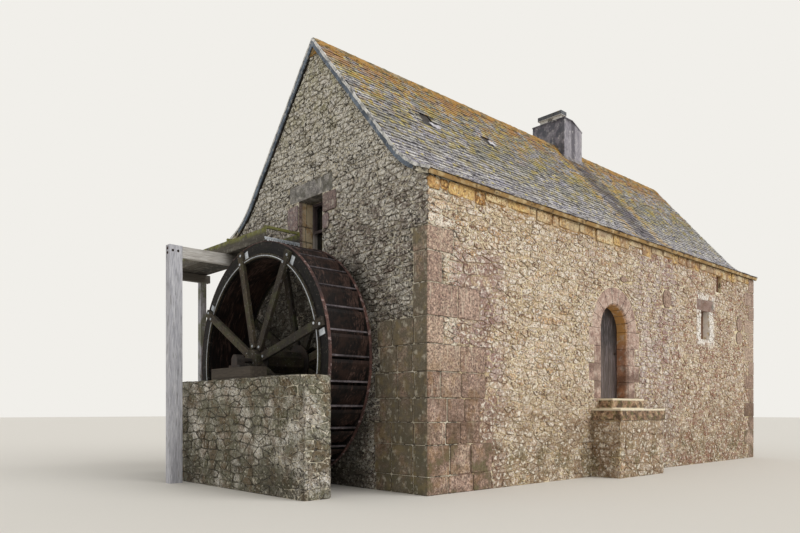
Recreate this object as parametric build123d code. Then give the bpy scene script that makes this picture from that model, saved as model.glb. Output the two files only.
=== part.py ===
from build123d import *
import os
from math import atan2, cos, hypot, radians, sin

# A stone watermill with a slate roof and an overshot wheel on its gable.
# Millimetres. X runs along the eaves, Y across the house, Z up.
# The origin is on the ground, where the plane of the ridge meets the outer
# face of the wheel gable. The wheel stands at negative X and the door faces -Y.

# House walls
house_length = 12630
house_width = 5750
wall_thickness = 650
ledge_width = 100

# Roof: a straight slope that flattens in an arc over the wall head
ridge_height = 7970
kick_run = 2150
kick_height = 5440
eaves_overhang = 90
eaves_height = 4900
roof_thickness = 70
verge_projection = 50
verge_strip_thickness = 22
verge_strip_rise = 14
verge_strip_drop = 10
verge_foot_setback = 345
ridge_cap_reach = 190
ridge_cap_thickness = 28

# Chimney
chimney_start_x = 7410
chimney_width = 790
chimney_length = 960
chimney_centre_y = 175
chimney_rise = 640
chimney_level_width = 360
chimney_shoulder_drop = 180
chimney_slab_thickness = 30
chimney_slab_lip = 10
chimney_pier_width = 150
chimney_pier_length = 230
chimney_pier_height = 120
chimney_cover_width = 240
chimney_cover_length = 710
chimney_cover_thickness = 105
chimney_cover_inset = 45

# Doorway with dressed jambs, a round arch and a leaf that opens inwards
door_centre_x = 5385
door_width = 1000
door_height_to_spring = 1400
sill_height = 1520
sill_thickness = 200
sill_projection = 300
jamb_depth = 250
jamb_short = 290
jamb_long = 480
jamb_courses = 4
stone_joint = 8
arch_ring_depth = 360
arch_stones = 9
edge_chamfer = 45
door_bay_half_width = 960
embrasure_half_width = 620
embrasure_headroom = 90
inner_lintel_height = 200
inner_lintel_bearing = 220

# Entrance step and its masonry
step_height = 200
step_thickness = 220
step_half_width = 880
step_projection = 620
step_base_inset = 25

# Door leaf
leaf_thickness = 45
leaf_lap = 30
leaf_clearance = 6
leaf_floor_gap = 12
ledge_board_thickness = 28
ledge_board_height = 150
ledge_board_side_inset = 70
ledge_board_low = 220
ledge_board_middle = 800
ledge_board_high = 80
hinge_axis_offset = 60
pintle_radius = 9
pintle_clearance = 0.3
eye_radius = 18
strap_thickness = 6
strap_height = 44
strap_length = 820
low_strap_rise = 480
high_strap_drop = 250
pintle_pin_length = 90
pintle_plate_size = 110
pintle_plate_thickness = 8
ring_radius = 42
ring_bar_radius = 6
ring_plate_radius = 30
ring_plate_thickness = 5
ring_height = 950

# Floor
floor_board_thickness = 40
joist_width = 90
joist_depth = 190
joist_count = 11

# Windows
gable_window_centre_y = 145
gable_window_width = 740
gable_window_head = 5170
gable_window_height = 1070
gable_window_setback = 320
gable_lintel_height = 300
gable_lintel_bearing = 290
gable_lintel_depth = 300
frame_member = 50
frame_depth = 70
glass_thickness = 6
small_window_x = 9360
small_window_width = 450
small_window_sill = 3010
small_window_height = 700
small_window_setback = 150
small_lintel_height = 270
small_lintel_bearing = 230
small_lintel_depth = 300
hatch_x = 10230
hatch_width = 290
hatch_height = 420
hatch_below_eaves = 230
hatch_setback = 70
shutter_thickness = 35

# Waterwheel
wheel_radius = 2030
wheel_centre_y = 150
wheel_centre_z = 2130
wheel_inner_x = -250
wheel_width = 850
shroud_depth = 245
shroud_thickness = 50
bucket_count = 32
sole_thickness = 25
sole_gap = 1.5
bucket_board = 24
bucket_floor_depth = 100
bucket_lean_angle = 9.5
rim_inset = 6
arm_count = 8
first_arm_angle = -60
arm_width = 140
arm_thickness = 60
arm_root_radius = 228
lining_width = 65
lining_thickness = 30
lining_end_gap = 1
arm_end_inset = 35
felloe_joint = 1.5
hub_radius = 330
hub_thickness = 25
axle_flat_radius = 190
axle_sides = 8
axle_outboard = 70
axle_inboard = 400
gudgeon_radius = 45
gudgeon_clearance = 0.3

# Bearings and the wall that carries the outer one
pit_wall_gap = 80
pit_wall_thickness = 460
pit_wall_near_overrun = 220
pit_wall_far_overrun = 120
bearing_beam_width = 300
bearing_beam_height = 200
bearing_beam_length = 1300
bearing_beam_setback = 80
bearing_length = 150
bearing_base_width = 360
bearing_base_height = 45
bearing_ring = 50
outer_bearing_height = 130
axle_hole_half = 280
inner_bearing_setback = 230

# Launder and its two trestles
launder_width = 730
launder_start_ahead_of_crown = 30
launder_end_overhang = 275
launder_clearance = 55
launder_board_height = 225
launder_board_thickness = 40
launder_bed_rise = 10
launder_bed_thickness = 36
cross_bar_size = 45
cross_bar_count = 4
near_trestle_past_crown = 1380
near_post_gap = 140
near_post_width = 240
near_post_depth = 150
near_beam_height = 200
near_beam_thickness = 90
near_beam_bearing = 180
far_trestle_spacing = 2195
far_post_size = 130
far_beam_height = 160
far_beam_overhang = 90

# Places worked out from the sizes above
front_y = -house_width / 2
back_y = house_width / 2
front_inner_y = front_y + wall_thickness
back_inner_y = back_y - wall_thickness
jamb_back_y = front_y + jamb_depth
spring_height = sill_height + door_height_to_spring
door_half = door_width / 2
crown_height = spring_height + door_half
embrasure_head = crown_height + leaf_lap + embrasure_headroom
floor_top = sill_height
floor_underside = floor_top - floor_board_thickness
ledge_top = floor_underside - joist_depth
wheel_outer_x = wheel_inner_x - wheel_width
sole_radius = wheel_radius - shroud_depth
chimney_top = ridge_height + chimney_rise
chimney_end_x = chimney_start_x + chimney_width
chimney_front_y = chimney_centre_y - chimney_length / 2
hatch_sill = eaves_height - hatch_below_eaves - hatch_height
pit_wall_start_y = wheel_centre_y - wheel_radius - pit_wall_near_overrun
pit_wall_end_y = wheel_centre_y + wheel_radius + pit_wall_far_overrun
pit_wall_x1 = wheel_outer_x - arm_thickness - pit_wall_gap
pit_wall_x0 = pit_wall_x1 - pit_wall_thickness
launder_inner_x = wheel_inner_x
launder_outer_x = launder_inner_x - launder_width
launder_start_y = wheel_centre_y - launder_start_ahead_of_crown
launder_bottom = wheel_centre_z + wheel_radius + launder_clearance
launder_top = launder_bottom + launder_board_height
near_trestle_y = wheel_centre_y + near_trestle_past_crown
near_post_x = pit_wall_x0 - near_post_gap - near_post_width / 2
far_trestle_y = near_trestle_y + far_trestle_spacing
launder_end_y = far_trestle_y + launder_end_overhang
leaf_front_y = jamb_back_y + leaf_clearance
leaf_back_y = leaf_front_y + leaf_thickness
hinge_x = door_centre_x - door_half - hinge_axis_offset
hinge_y = leaf_back_y + eye_radius + strap_thickness


def block(x0, x1, y0, y1, z0, z1):
    """A rectangular block between two corners."""
    middle = Pos((x0 + x1) / 2, (y0 + y1) / 2, (z0 + z1) / 2)
    return middle * Box(x1 - x0, y1 - y0, z1 - z0)


def together(pieces):
    """Several separate solids as one shape for one file."""
    solids = [solid for piece in pieces for solid in piece.solids()]
    return Compound(solids)


def across_house(outline, x0, x1):
    """An outline drawn in Y and Z, run along X from x0 to x1."""
    face = make_face(Plane.YZ * outline)
    return Pos(x0, 0, 0) * extrude(face, x1 - x0, dir=(1, 0, 0))


# The roof line
slope_angle = atan2(ridge_height - kick_height, kick_run)
eaves_run = house_width / 2 + eaves_overhang
chord_angle = atan2(kick_height - eaves_height, eaves_run - kick_run)
eaves_angle = 2 * chord_angle - slope_angle


def roof_points(depth, side):
    """Ridge, kick and eaves points of the roof line, this deep below the slates."""
    ridge = (0, ridge_height - depth / cos(slope_angle))
    kick = (
        side * (kick_run - depth * sin(slope_angle)),
        kick_height - depth * cos(slope_angle),
    )
    eaves = (
        side * (eaves_run - depth * sin(eaves_angle)),
        eaves_height - depth * cos(eaves_angle),
    )
    return ridge, kick, eaves


def roof_curve(depth, side):
    """The roof line from ridge to eaves: a straight slope and a tangent arc."""
    ridge, kick, eaves = roof_points(depth, side)
    downhill = (side * cos(slope_angle), -sin(slope_angle))
    return [Line(ridge, kick), TangentArc(kick, eaves, tangent=downhill)]


def roof_band(top_depth, bottom_depth, side):
    """The closed outline between two depths of the roof line."""
    top = roof_points(top_depth, side)
    bottom = roof_points(bottom_depth, side)
    edges = roof_curve(top_depth, side) + roof_curve(bottom_depth, side)
    edges += [Line(top[0], bottom[0]), Line(top[2], bottom[2])]
    return Curve() + edges


def under_roof(depth, x0, x1):
    """Everything below the roof line at this depth, from x0 to x1."""
    halves = []
    for side in (-1, 1):
        ridge, kick, eaves = roof_points(depth, side)
        edges = roof_curve(depth, side)
        edges += [Polyline(ridge, (0, 0), (eaves[0], 0), eaves)]
        halves.append(across_house(Curve() + edges, x0, x1))
    return halves[0] + halves[1]


def below_roof(solid):
    """The part of a solid that lies under the roof's lower face."""
    return solid & under_roof(roof_thickness, -house_length, 2 * house_length)


# Walls

def jamb_blocks(side):
    """The dressed blocks of one door jamb, long and short in turn."""
    blocks = []
    course = door_height_to_spring / jamb_courses
    inner = door_centre_x + side * door_half
    for row in range(jamb_courses):
        long_one = (jamb_courses - 1 - row) % 2 == 0
        outer = inner + side * (jamb_long if long_one else jamb_short)
        low = sill_height + row * course
        high = low + course - stone_joint
        stone = block(min(inner, outer), max(inner, outer), front_y, jamb_back_y, low, high)
        arris = stone.edges().filter_by(Axis.Z).sort_by_distance((inner, front_y, low))[0]
        blocks.append(chamfer(arris, edge_chamfer))
    return blocks


def jamb_pocket(side):
    """The stepped recess that one jamb fills in the wall."""
    course = door_height_to_spring / jamb_courses
    inner = door_centre_x + side * door_half
    pocket = None
    for row in range(jamb_courses):
        long_one = (jamb_courses - 1 - row) % 2 == 0
        outer = inner + side * (jamb_long if long_one else jamb_short)
        low = sill_height + row * course
        cut = block(min(inner, outer), max(inner, outer), front_y, jamb_back_y, low, low + course)
        pocket = cut if pocket is None else pocket + cut
    return pocket


def long_wall(x0, x1, side):
    """A stretch of an eaves wall, thicker below the floor where joists rest."""
    outer = side * house_width / 2
    inner = outer - side * wall_thickness
    ledge = inner - side * ledge_width
    wall = block(x0, x1, min(outer, inner), max(outer, inner), 0, ridge_height)
    foot = block(x0, x1, min(outer, ledge), max(outer, ledge), 0, ledge_top)
    return below_roof(wall + foot)


def window_cut(x0, width, sill, height):
    """A square opening right through the front wall."""
    return block(x0, x0 + width, front_y - 1, front_inner_y + 1, sill, sill + height)


def front_wall_left():
    """The front wall from the wheel gable to the doorway."""
    bay = door_centre_x - door_bay_half_width
    wall = long_wall(wall_thickness, bay, -1)
    cheek = block(bay, door_centre_x - embrasure_half_width,
                  front_y, front_inner_y, 0, spring_height)
    foot = block(bay, door_centre_x - embrasure_half_width,
                 front_y, front_inner_y + ledge_width, 0, ledge_top)
    return wall + cheek + foot - jamb_pocket(-1)


def front_wall_right():
    """The front wall from the doorway to the far gable, with its two openings."""
    bay = door_centre_x + door_bay_half_width
    wall = long_wall(bay, house_length - wall_thickness, -1)
    cheek = block(door_centre_x + embrasure_half_width, bay,
                  front_y, front_inner_y, 0, spring_height)
    foot = block(door_centre_x + embrasure_half_width, bay,
                 front_y, front_inner_y + ledge_width, 0, ledge_top)
    wall = wall + cheek + foot - jamb_pocket(1)
    wall -= window_cut(small_window_x, small_window_width, small_window_sill, small_window_height)
    wall -= window_cut(hatch_x, hatch_width, hatch_sill, hatch_height)
    return wall - small_window_lintel()


def front_wall_over_door():
    """The wall that the arch and the inner lintel carry."""
    wall = below_roof(block(door_centre_x - door_bay_half_width,
                            door_centre_x + door_bay_half_width,
                            front_y, front_inner_y, spring_height, ridge_height))
    ring = Pos(door_centre_x, front_y, spring_height) * Rot(-90, 0, 0) * Cylinder(
        door_half + arch_ring_depth, jamb_depth, align=(Align.CENTER, Align.CENTER, Align.MIN))
    embrasure = block(door_centre_x - embrasure_half_width, door_centre_x + embrasure_half_width,
                      jamb_back_y, front_inner_y, spring_height, embrasure_head)
    return wall - ring - embrasure - door_inner_lintel()


def front_wall_under_door():
    """The masonry between ground and sill in the doorway."""
    return block(door_centre_x - embrasure_half_width, door_centre_x + embrasure_half_width,
                 front_y, front_inner_y, 0, sill_height - sill_thickness)


def door_inner_lintel():
    """The timber beam over the inside of the doorway."""
    half = embrasure_half_width + inner_lintel_bearing
    return block(door_centre_x - half, door_centre_x + half,
                 jamb_back_y, front_inner_y, embrasure_head, embrasure_head + inner_lintel_height)


def door_arch():
    """A ring of wedge-shaped stones, chamfered round the opening."""
    inner = door_half
    outer = door_half + arch_ring_depth
    outline = Polyline((inner + edge_chamfer, 0), (outer, 0), (outer, jamb_depth),
                       (inner, jamb_depth), (inner, edge_chamfer), close=True)
    section = Plane.XY * make_face(outline)
    ring = revolve(section, Axis((0, 0, 0), (0, -1, 0)), 180)
    for row in range(1, arch_stones):
        angle = 180 * row / arch_stones
        saw = Rot(0, -angle, 0) * block(0, outer + 1, -1, jamb_depth + 1,
                                        -stone_joint / 2, stone_joint / 2)
        ring -= saw
    return together([Pos(door_centre_x, front_y, spring_height) * ring])


def door_sill():
    """The threshold slab, which stands out as the upper step."""
    return block(door_centre_x - embrasure_half_width, door_centre_x + embrasure_half_width,
                 front_y - sill_projection, front_inner_y,
                 sill_height - sill_thickness, sill_height)


def entrance_step():
    """The wide lower step slab."""
    top = sill_height - step_height
    return block(door_centre_x - step_half_width, door_centre_x + step_half_width,
                 front_y - step_projection, front_y, top - step_thickness, top)


def entrance_base():
    """The masonry under the step, down to the ground."""
    half = step_half_width - step_base_inset
    return block(door_centre_x - half, door_centre_x + half,
                 front_y - step_projection + step_base_inset, front_y,
                 0, sill_height - step_height - step_thickness)


def gable_wall(x0):
    """A gable wall from the ground to the underside of the roof."""
    return below_roof(block(x0, x0 + wall_thickness, front_y, back_y, 0, ridge_height))


def wheel_gable_wall():
    """The gable beside the wheel, with its window and the axle hole."""
    half = gable_window_width / 2
    window = block(-1, wall_thickness + 1,
                   gable_window_centre_y - half, gable_window_centre_y + half,
                   gable_window_head - gable_window_height, gable_window_head)
    hole = block(-1, wall_thickness + 1,
                 wheel_centre_y - axle_hole_half, wheel_centre_y + axle_hole_half,
                 wheel_centre_z - axle_hole_half, wheel_centre_z + axle_hole_half)
    return gable_wall(0) - window - hole - gable_window_lintel() - near_trestle_beam()


def gable_window_lintel():
    """The long stone over the gable window."""
    half = gable_window_width / 2 + gable_lintel_bearing
    return block(0, gable_lintel_depth,
                 gable_window_centre_y - half, gable_window_centre_y + half,
                 gable_window_head, gable_window_head + gable_lintel_height)


def gable_window_frame():
    """A timber frame with one upright bar and one cross bar."""
    half = gable_window_width / 2
    low = gable_window_head - gable_window_height
    x0 = gable_window_setback
    y0 = gable_window_centre_y - half
    y1 = gable_window_centre_y + half
    frame = block(x0, x0 + frame_depth, y0, y1, low, gable_window_head)
    pane_width = (gable_window_width - 3 * frame_member) / 2
    pane_height = (gable_window_height - 3 * frame_member) / 2
    for column in range(2):
        for row in range(2):
            py = y0 + frame_member + column * (pane_width + frame_member)
            pz = low + frame_member + row * (pane_height + frame_member)
            frame -= block(x0 - 1, x0 + frame_depth + 1, py, py + pane_width, pz, pz + pane_height)
    return frame


def gable_window_glass():
    """One sheet of glass behind the gable window's bars."""
    half = gable_window_width / 2
    x0 = gable_window_setback + frame_depth
    return block(x0, x0 + glass_thickness,
                 gable_window_centre_y - half, gable_window_centre_y + half,
                 gable_window_head - gable_window_height, gable_window_head)


def small_window_lintel():
    """The stone over the small front window."""
    return block(small_window_x - small_lintel_bearing,
                 small_window_x + small_window_width + small_lintel_bearing,
                 front_y, front_y + small_lintel_depth,
                 small_window_sill + small_window_height,
                 small_window_sill + small_window_height + small_lintel_height)


def shutter(x0, width, sill, height, setback):
    """A boarded shutter that fills an opening of the front wall."""
    return block(x0, x0 + width, front_y + setback, front_y + setback + shutter_thickness,
                 sill, sill + height)


def window_shutters():
    """The shutters of the small window and the hatch."""
    return together([
        shutter(small_window_x, small_window_width, small_window_sill,
                small_window_height, small_window_setback),
        shutter(hatch_x, hatch_width, hatch_sill, hatch_height, hatch_setback),
    ])


# Roof

def chimney_fall(x):
    """How far the stack's top has dropped at this X, past its level part."""
    past = max(0, x - chimney_start_x - chimney_level_width)
    return past * chimney_shoulder_drop / (chimney_width - chimney_level_width)


def through_stack(lip, *points):
    """An outline drawn in X and Z, run along Y through the stack and past it by a lip."""
    face = make_face(Plane.XZ * Polyline(*points, close=True))
    solid = extrude(face, chimney_length + 2 * lip, dir=(0, 1, 0))
    return Pos(0, chimney_front_y - lip, 0) * solid


def chimney_shaft(low):
    """The shaft of the chimney from a given height, with its sloping shoulder."""
    return through_stack(
        0, (chimney_start_x, low), (chimney_end_x, low),
        (chimney_end_x, chimney_top - chimney_fall(chimney_end_x)),
        (chimney_start_x + chimney_level_width, chimney_top), (chimney_start_x, chimney_top))


def roof_slope(side):
    """One side of the roof, flared over the wall head."""
    return across_house(roof_band(0, roof_thickness, side),
                        -verge_projection, house_length + verge_projection)


def ridge_cap():
    """The angled capping along the ridge, broken by the chimney."""
    reach_y = ridge_cap_reach * cos(slope_angle)
    reach_z = ridge_cap_reach * sin(slope_angle)
    lift = ridge_cap_thickness / cos(slope_angle)
    shift_y = ridge_cap_thickness * sin(slope_angle)
    shift_z = ridge_cap_thickness * cos(slope_angle)
    outline = Polyline(
        (0, ridge_height),
        (-reach_y, ridge_height - reach_z),
        (-reach_y - shift_y, ridge_height - reach_z + shift_z),
        (0, ridge_height + lift),
        (reach_y + shift_y, ridge_height - reach_z + shift_z),
        (reach_y, ridge_height - reach_z),
        close=True,
    )
    cap = across_house(outline, -verge_projection, house_length + verge_projection)
    return together([cap - chimney_shaft(0)])


def verge_strips():
    """The strips that cover the roof's edges over both gables, short of the eaves."""
    strips = []
    reach = eaves_run - verge_foot_setback
    for x0 in (-verge_projection - verge_strip_thickness, house_length + verge_projection):
        slopes = []
        for side in (-1, 1):
            band = roof_band(-verge_strip_rise, roof_thickness + verge_strip_drop, side)
            slopes.append(across_house(band, x0, x0 + verge_strip_thickness))
        within = block(x0 - 1, x0 + verge_strip_thickness + 1, -reach, reach, 0, 2 * ridge_height)
        strips.append((slopes[0] + slopes[1]) & within)
    return together(strips)


def chimney_stack():
    """The rendered stack, standing astride the ridge on both slopes."""
    return chimney_shaft(kick_height) - under_roof(0, 0, house_length)


def chimney_slab():
    """The thin slab that lips over the top of the stack and down its shoulder."""
    x0 = chimney_start_x - chimney_slab_lip
    x1 = chimney_start_x + chimney_level_width
    x2 = chimney_end_x + chimney_slab_lip
    foot = chimney_top - chimney_fall(x2)
    upper = chimney_top + chimney_slab_thickness
    return through_stack(
        chimney_slab_lip, (x0, chimney_top), (x1, chimney_top), (x2, foot),
        (x2, foot + chimney_slab_thickness), (x1, upper), (x0, upper))


def chimney_cover():
    """A thick slate on two small blocks, over the level part of the stack."""
    low = chimney_top + chimney_slab_thickness
    high = low + chimney_pier_height
    x0 = chimney_start_x + chimney_cover_inset
    pier_x0 = x0 + (chimney_cover_width - chimney_pier_width) / 2
    half = chimney_cover_length / 2
    cover = block(x0, x0 + chimney_cover_width, chimney_centre_y - half, chimney_centre_y + half,
                  high, high + chimney_cover_thickness)
    for side in (-1, 1):
        end = chimney_centre_y + side * (half - chimney_cover_inset)
        inner = end - side * chimney_pier_length
        cover += block(pier_x0, pier_x0 + chimney_pier_width, min(end, inner), max(end, inner),
                       low, high)
    return cover


# Floor

def ground_floor():
    """The boarded floor at the level of the sill."""
    return block(wall_thickness, house_length - wall_thickness,
                 front_inner_y, back_inner_y, floor_underside, floor_top)


def floor_joists():
    """Joists from ledge to ledge under the boards."""
    room = house_length - 2 * wall_thickness
    joists = []
    for row in range(joist_count):
        middle = wall_thickness + room * (row + 0.5) / joist_count
        joists.append(block(middle - joist_width / 2, middle + joist_width / 2,
                            front_inner_y, back_inner_y, ledge_top, floor_underside))
    return together(joists)


# Door leaf, modelled shut

def leaf_outline(lap):
    """The leaf's outline in X and Z: straight sides and a round head."""
    half = door_half + lap
    low = sill_height + leaf_floor_gap
    return Curve() + [
        Polyline((-half, spring_height), (-half, low), (half, low), (half, spring_height)),
        RadiusArc((-half, spring_height), (half, spring_height), half),
    ]


def door_leaf():
    """The planked leaf with its round head."""
    face = make_face(Plane.XZ * leaf_outline(leaf_lap))
    return Pos(door_centre_x, leaf_front_y, 0) * extrude(face, leaf_thickness, dir=(0, 1, 0))


def door_ledges():
    """Three cross boards nailed to the inside of the leaf."""
    half = door_half - ledge_board_side_inset
    heights = (sill_height + ledge_board_low, sill_height + ledge_board_middle,
               spring_height - ledge_board_high)
    return together([
        block(door_centre_x - half, door_centre_x + half,
              leaf_back_y, leaf_back_y + ledge_board_thickness, low, low + ledge_board_height)
        for low in heights
    ])


strap_heights = (sill_height + low_strap_rise, spring_height - high_strap_drop)


def door_straps():
    """Strap hinges on the inside of the leaf, each with an eye for its pintle."""
    straps = []
    for middle in strap_heights:
        low = middle - strap_height / 2
        eye = Pos(hinge_x, hinge_y, middle) * Cylinder(eye_radius, strap_height)
        neck = block(hinge_x, hinge_x + eye_radius * 2, hinge_y - eye_radius,
                     hinge_y - eye_radius + strap_thickness, low, low + strap_height)
        leg = block(hinge_x + eye_radius * 2 - strap_thickness, hinge_x + eye_radius * 2,
                    leaf_back_y, hinge_y - eye_radius, low, low + strap_height)
        flat = block(hinge_x + eye_radius * 2 - strap_thickness, hinge_x + strap_length,
                     leaf_back_y, leaf_back_y + strap_thickness, low, low + strap_height)
        bore = Pos(hinge_x, hinge_y, middle) * Cylinder(
            pintle_radius + pintle_clearance, strap_height + 2)
        straps.append(eye + neck + leg + flat - bore)
    return straps


def door_pintles():
    """Hooks on the side of the doorway that the straps hang on."""
    wall_x = door_centre_x - embrasure_half_width
    hooks = []
    for middle in strap_heights:
        low = middle - strap_height / 2
        shelf = low - 2 * pintle_clearance
        pin = Pos(hinge_x, hinge_y, shelf - strap_thickness) * Cylinder(
            pintle_radius, pintle_pin_length, align=(Align.CENTER, Align.CENTER, Align.MIN))
        collar = Pos(hinge_x, hinge_y, shelf - eye_radius) * Cylinder(
            eye_radius, eye_radius, align=(Align.CENTER, Align.CENTER, Align.MIN))
        arm = block(wall_x, hinge_x, hinge_y - pintle_radius, hinge_y + pintle_radius,
                    shelf - eye_radius, shelf)
        plate = block(wall_x, wall_x + pintle_plate_thickness,
                      hinge_y - pintle_radius * 2, hinge_y + pintle_radius * 2,
                      shelf - pintle_plate_size, shelf)
        hooks.append(pin + collar + arm + plate)
    return together(hooks)


def door_ring():
    """The iron ring handle on its round plate."""
    x = door_centre_x + door_half - 2 * ring_radius
    z = sill_height + ring_height
    plate = Pos(x, leaf_front_y, z) * Rot(90, 0, 0) * Cylinder(
        ring_plate_radius, ring_plate_thickness, align=(Align.CENTER, Align.CENTER, Align.MIN))
    stem = Pos(x, leaf_front_y, z) * Rot(90, 0, 0) * Cylinder(
        ring_bar_radius, ring_bar_radius * 4, align=(Align.CENTER, Align.CENTER, Align.MIN))
    ring = Pos(x, leaf_front_y - ring_bar_radius * 3, z - ring_radius) * Rot(90, 0, 0) * Torus(
        ring_radius, ring_bar_radius)
    return plate + stem + ring


# Waterwheel: each piece is made at the top of the wheel and turned into place

def on_wheel(piece, angle):
    """A piece made upright over the axle, turned by this angle towards -Y."""
    return Pos(0, wheel_centre_y, wheel_centre_z) * Rot(angle, 0, 0) * piece


def shroud(x0):
    """One side ring, cut into a felloe for each arm."""
    ring = Pos(x0, 0, 0) * Rot(0, 90, 0) * (
        Cylinder(wheel_radius, shroud_thickness, align=(Align.CENTER, Align.CENTER, Align.MIN))
        - Cylinder(sole_radius - sole_thickness, shroud_thickness,
                   align=(Align.CENTER, Align.CENTER, Align.MIN)))
    for arm in range(arm_count):
        angle = first_arm_angle + (arm + 0.5) * 360 / arm_count
        saw = block(x0 - 1, x0 + shroud_thickness + 1,
                    -felloe_joint / 2, felloe_joint / 2, 0, wheel_radius + 1)
        ring -= Rot(angle, 0, 0) * saw
    return together([on_wheel(ring, 0)])


def arms(x0):
    """Eight straight arms lapped on the outside of a shroud and its hub plate."""
    arm = block(x0, x0 + arm_thickness, -arm_width / 2, arm_width / 2,
                arm_root_radius, wheel_radius - arm_end_inset)
    return together([
        on_wheel(arm, first_arm_angle + row * 360 / arm_count) for row in range(arm_count)
    ])


def shroud_lining(x0):
    """The curved strips along a shroud's inner edge, one between each two arms."""
    inner = sole_radius - sole_thickness
    ring = Pos(x0, 0, 0) * Rot(0, 90, 0) * (
        Cylinder(inner + lining_width, lining_thickness,
                 align=(Align.CENTER, Align.CENTER, Align.MIN))
        - Cylinder(inner, lining_thickness, align=(Align.CENTER, Align.CENTER, Align.MIN)))
    half = arm_width / 2 + lining_end_gap
    gap = block(x0 - 1, x0 + lining_thickness + 1, -half, half, 0, wheel_radius)
    for row in range(arm_count):
        ring -= Rot(first_arm_angle + row * 360 / arm_count, 0, 0) * gap
    return on_wheel(ring, 0)


drum_x0 = wheel_outer_x + shroud_thickness
drum_x1 = wheel_inner_x - shroud_thickness
pitch = 360 / bucket_count


def sole_boards():
    """The boards that close the wheel behind the buckets."""
    half_pitch = radians(pitch / 2)
    low = sole_radius - sole_thickness
    half_low = low * sin(half_pitch) / cos(half_pitch) - sole_gap / 2
    half_high = sole_radius * sin(half_pitch) / cos(half_pitch) - sole_gap / 2
    outline = Polyline((-half_low, low), (half_low, low),
                       (half_high, sole_radius), (-half_high, sole_radius), close=True)
    board = across_house(outline, drum_x0, drum_x1)
    return together([on_wheel(board, row * pitch) for row in range(bucket_count)])


def bucket_floors():
    """The boards that stand straight out from the sole."""
    half = bucket_board / 2
    board = block(drum_x0, drum_x1, -half, half, sole_radius, sole_radius + bucket_floor_depth)
    return together([on_wheel(board, row * pitch) for row in range(bucket_count)])


def bucket_fronts():
    """The sloping boards that run from the elbow back to the rim."""
    half = bucket_board / 2
    elbow = sole_radius + bucket_floor_depth
    rim = wheel_radius - rim_inset
    lean = radians(bucket_lean_angle)
    tip = (rim * sin(lean), rim * cos(lean))
    run = hypot(tip[0] + half, tip[1] - elbow)
    across = ((elbow - tip[1]) / run * bucket_board, (tip[0] + half) / run * bucket_board)
    outline = Polyline((-half, elbow), (-half + across[0], elbow + across[1]),
                       (tip[0] + across[0], tip[1] + across[1]), tip,
                       (half, elbow), close=True)
    board = across_house(outline, drum_x0, drum_x1)
    rim_ring = Pos(drum_x0, 0, 0) * Rot(0, 90, 0) * Cylinder(
        rim, drum_x1 - drum_x0, align=(Align.CENTER, Align.CENTER, Align.MIN))
    board = board & rim_ring
    return together([on_wheel(board, row * pitch) for row in range(bucket_count)])


def hub_plate(x0):
    """The round iron plate that the arms are bolted to."""
    disc = Pos(x0, 0, 0) * Rot(0, 90, 0) * Cylinder(
        hub_radius, hub_thickness, align=(Align.CENTER, Align.CENTER, Align.MIN))
    return on_wheel(disc - axle_timber(x0 - 1, x0 + hub_thickness + 1), 0)


def axle_timber(x0, x1):
    """The eight-sided timber of the axle, centred on the X axis."""
    section = RegularPolygon(axle_flat_radius, axle_sides, major_radius=False,
                             rotation=180 / axle_sides)
    return Pos(x0, 0, 0) * extrude(Plane.YZ * section, x1 - x0, dir=(1, 0, 0))


axle_x0 = wheel_outer_x - arm_thickness - axle_outboard
axle_x1 = wheel_inner_x + axle_inboard
beam_x1 = pit_wall_x1 - bearing_beam_setback
beam_x0 = beam_x1 - bearing_beam_width
outer_bearing_x0 = (beam_x0 + beam_x1 - bearing_length) / 2
beam_top = wheel_centre_z - outer_bearing_height
inner_bearing_x0 = inner_bearing_setback


def axle():
    """The timber axle."""
    return on_wheel(axle_timber(axle_x0, axle_x1), 0)


def gudgeons():
    """The iron pins that turn in the two bearings."""
    outer = Pos(outer_bearing_x0, 0, 0) * Rot(0, 90, 0) * Cylinder(
        gudgeon_radius, axle_x0 - outer_bearing_x0, align=(Align.CENTER, Align.CENTER, Align.MIN))
    inner_end = inner_bearing_x0 + bearing_length
    inner = Pos(axle_x1, 0, 0) * Rot(0, 90, 0) * Cylinder(
        gudgeon_radius, inner_end - axle_x1, align=(Align.CENTER, Align.CENTER, Align.MIN))
    return together([on_wheel(outer, 0), on_wheel(inner, 0)])


def bearing(x0, height):
    """A bearing block with a round head over the gudgeon, this far below its centre."""
    head = gudgeon_radius + bearing_ring
    base_half = bearing_base_width / 2
    outline = Curve() + [
        Polyline((-head, 0), (-head, bearing_base_height - height),
                 (-base_half, bearing_base_height - height), (-base_half, -height),
                 (base_half, -height), (base_half, bearing_base_height - height),
                 (head, bearing_base_height - height), (head, 0)),
        ThreePointArc((head, 0), (0, head), (-head, 0)),
    ]
    body = across_house(outline, x0, x0 + bearing_length)
    bore = Pos(x0 - 1, 0, 0) * Rot(0, 90, 0) * Cylinder(
        gudgeon_radius + gudgeon_clearance, bearing_length + 2,
        align=(Align.CENTER, Align.CENTER, Align.MIN))
    return on_wheel(body - bore, 0)


def pit_wall():
    """The low wall outside the wheel that carries its outer bearing."""
    return block(pit_wall_x0, pit_wall_x1, pit_wall_start_y, pit_wall_end_y,
                 0, beam_top - bearing_beam_height)


def bearing_beam():
    """The timber bed of the outer bearing."""
    return block(beam_x0, beam_x1, wheel_centre_y - bearing_beam_length / 2,
                 wheel_centre_y + bearing_beam_length / 2,
                 beam_top - bearing_beam_height, beam_top)


# Launder and trestles


def launder_side(x0):
    """One side board of the launder."""
    return block(x0, x0 + launder_board_thickness, launder_start_y, launder_end_y,
                 launder_bottom, launder_top)


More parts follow.
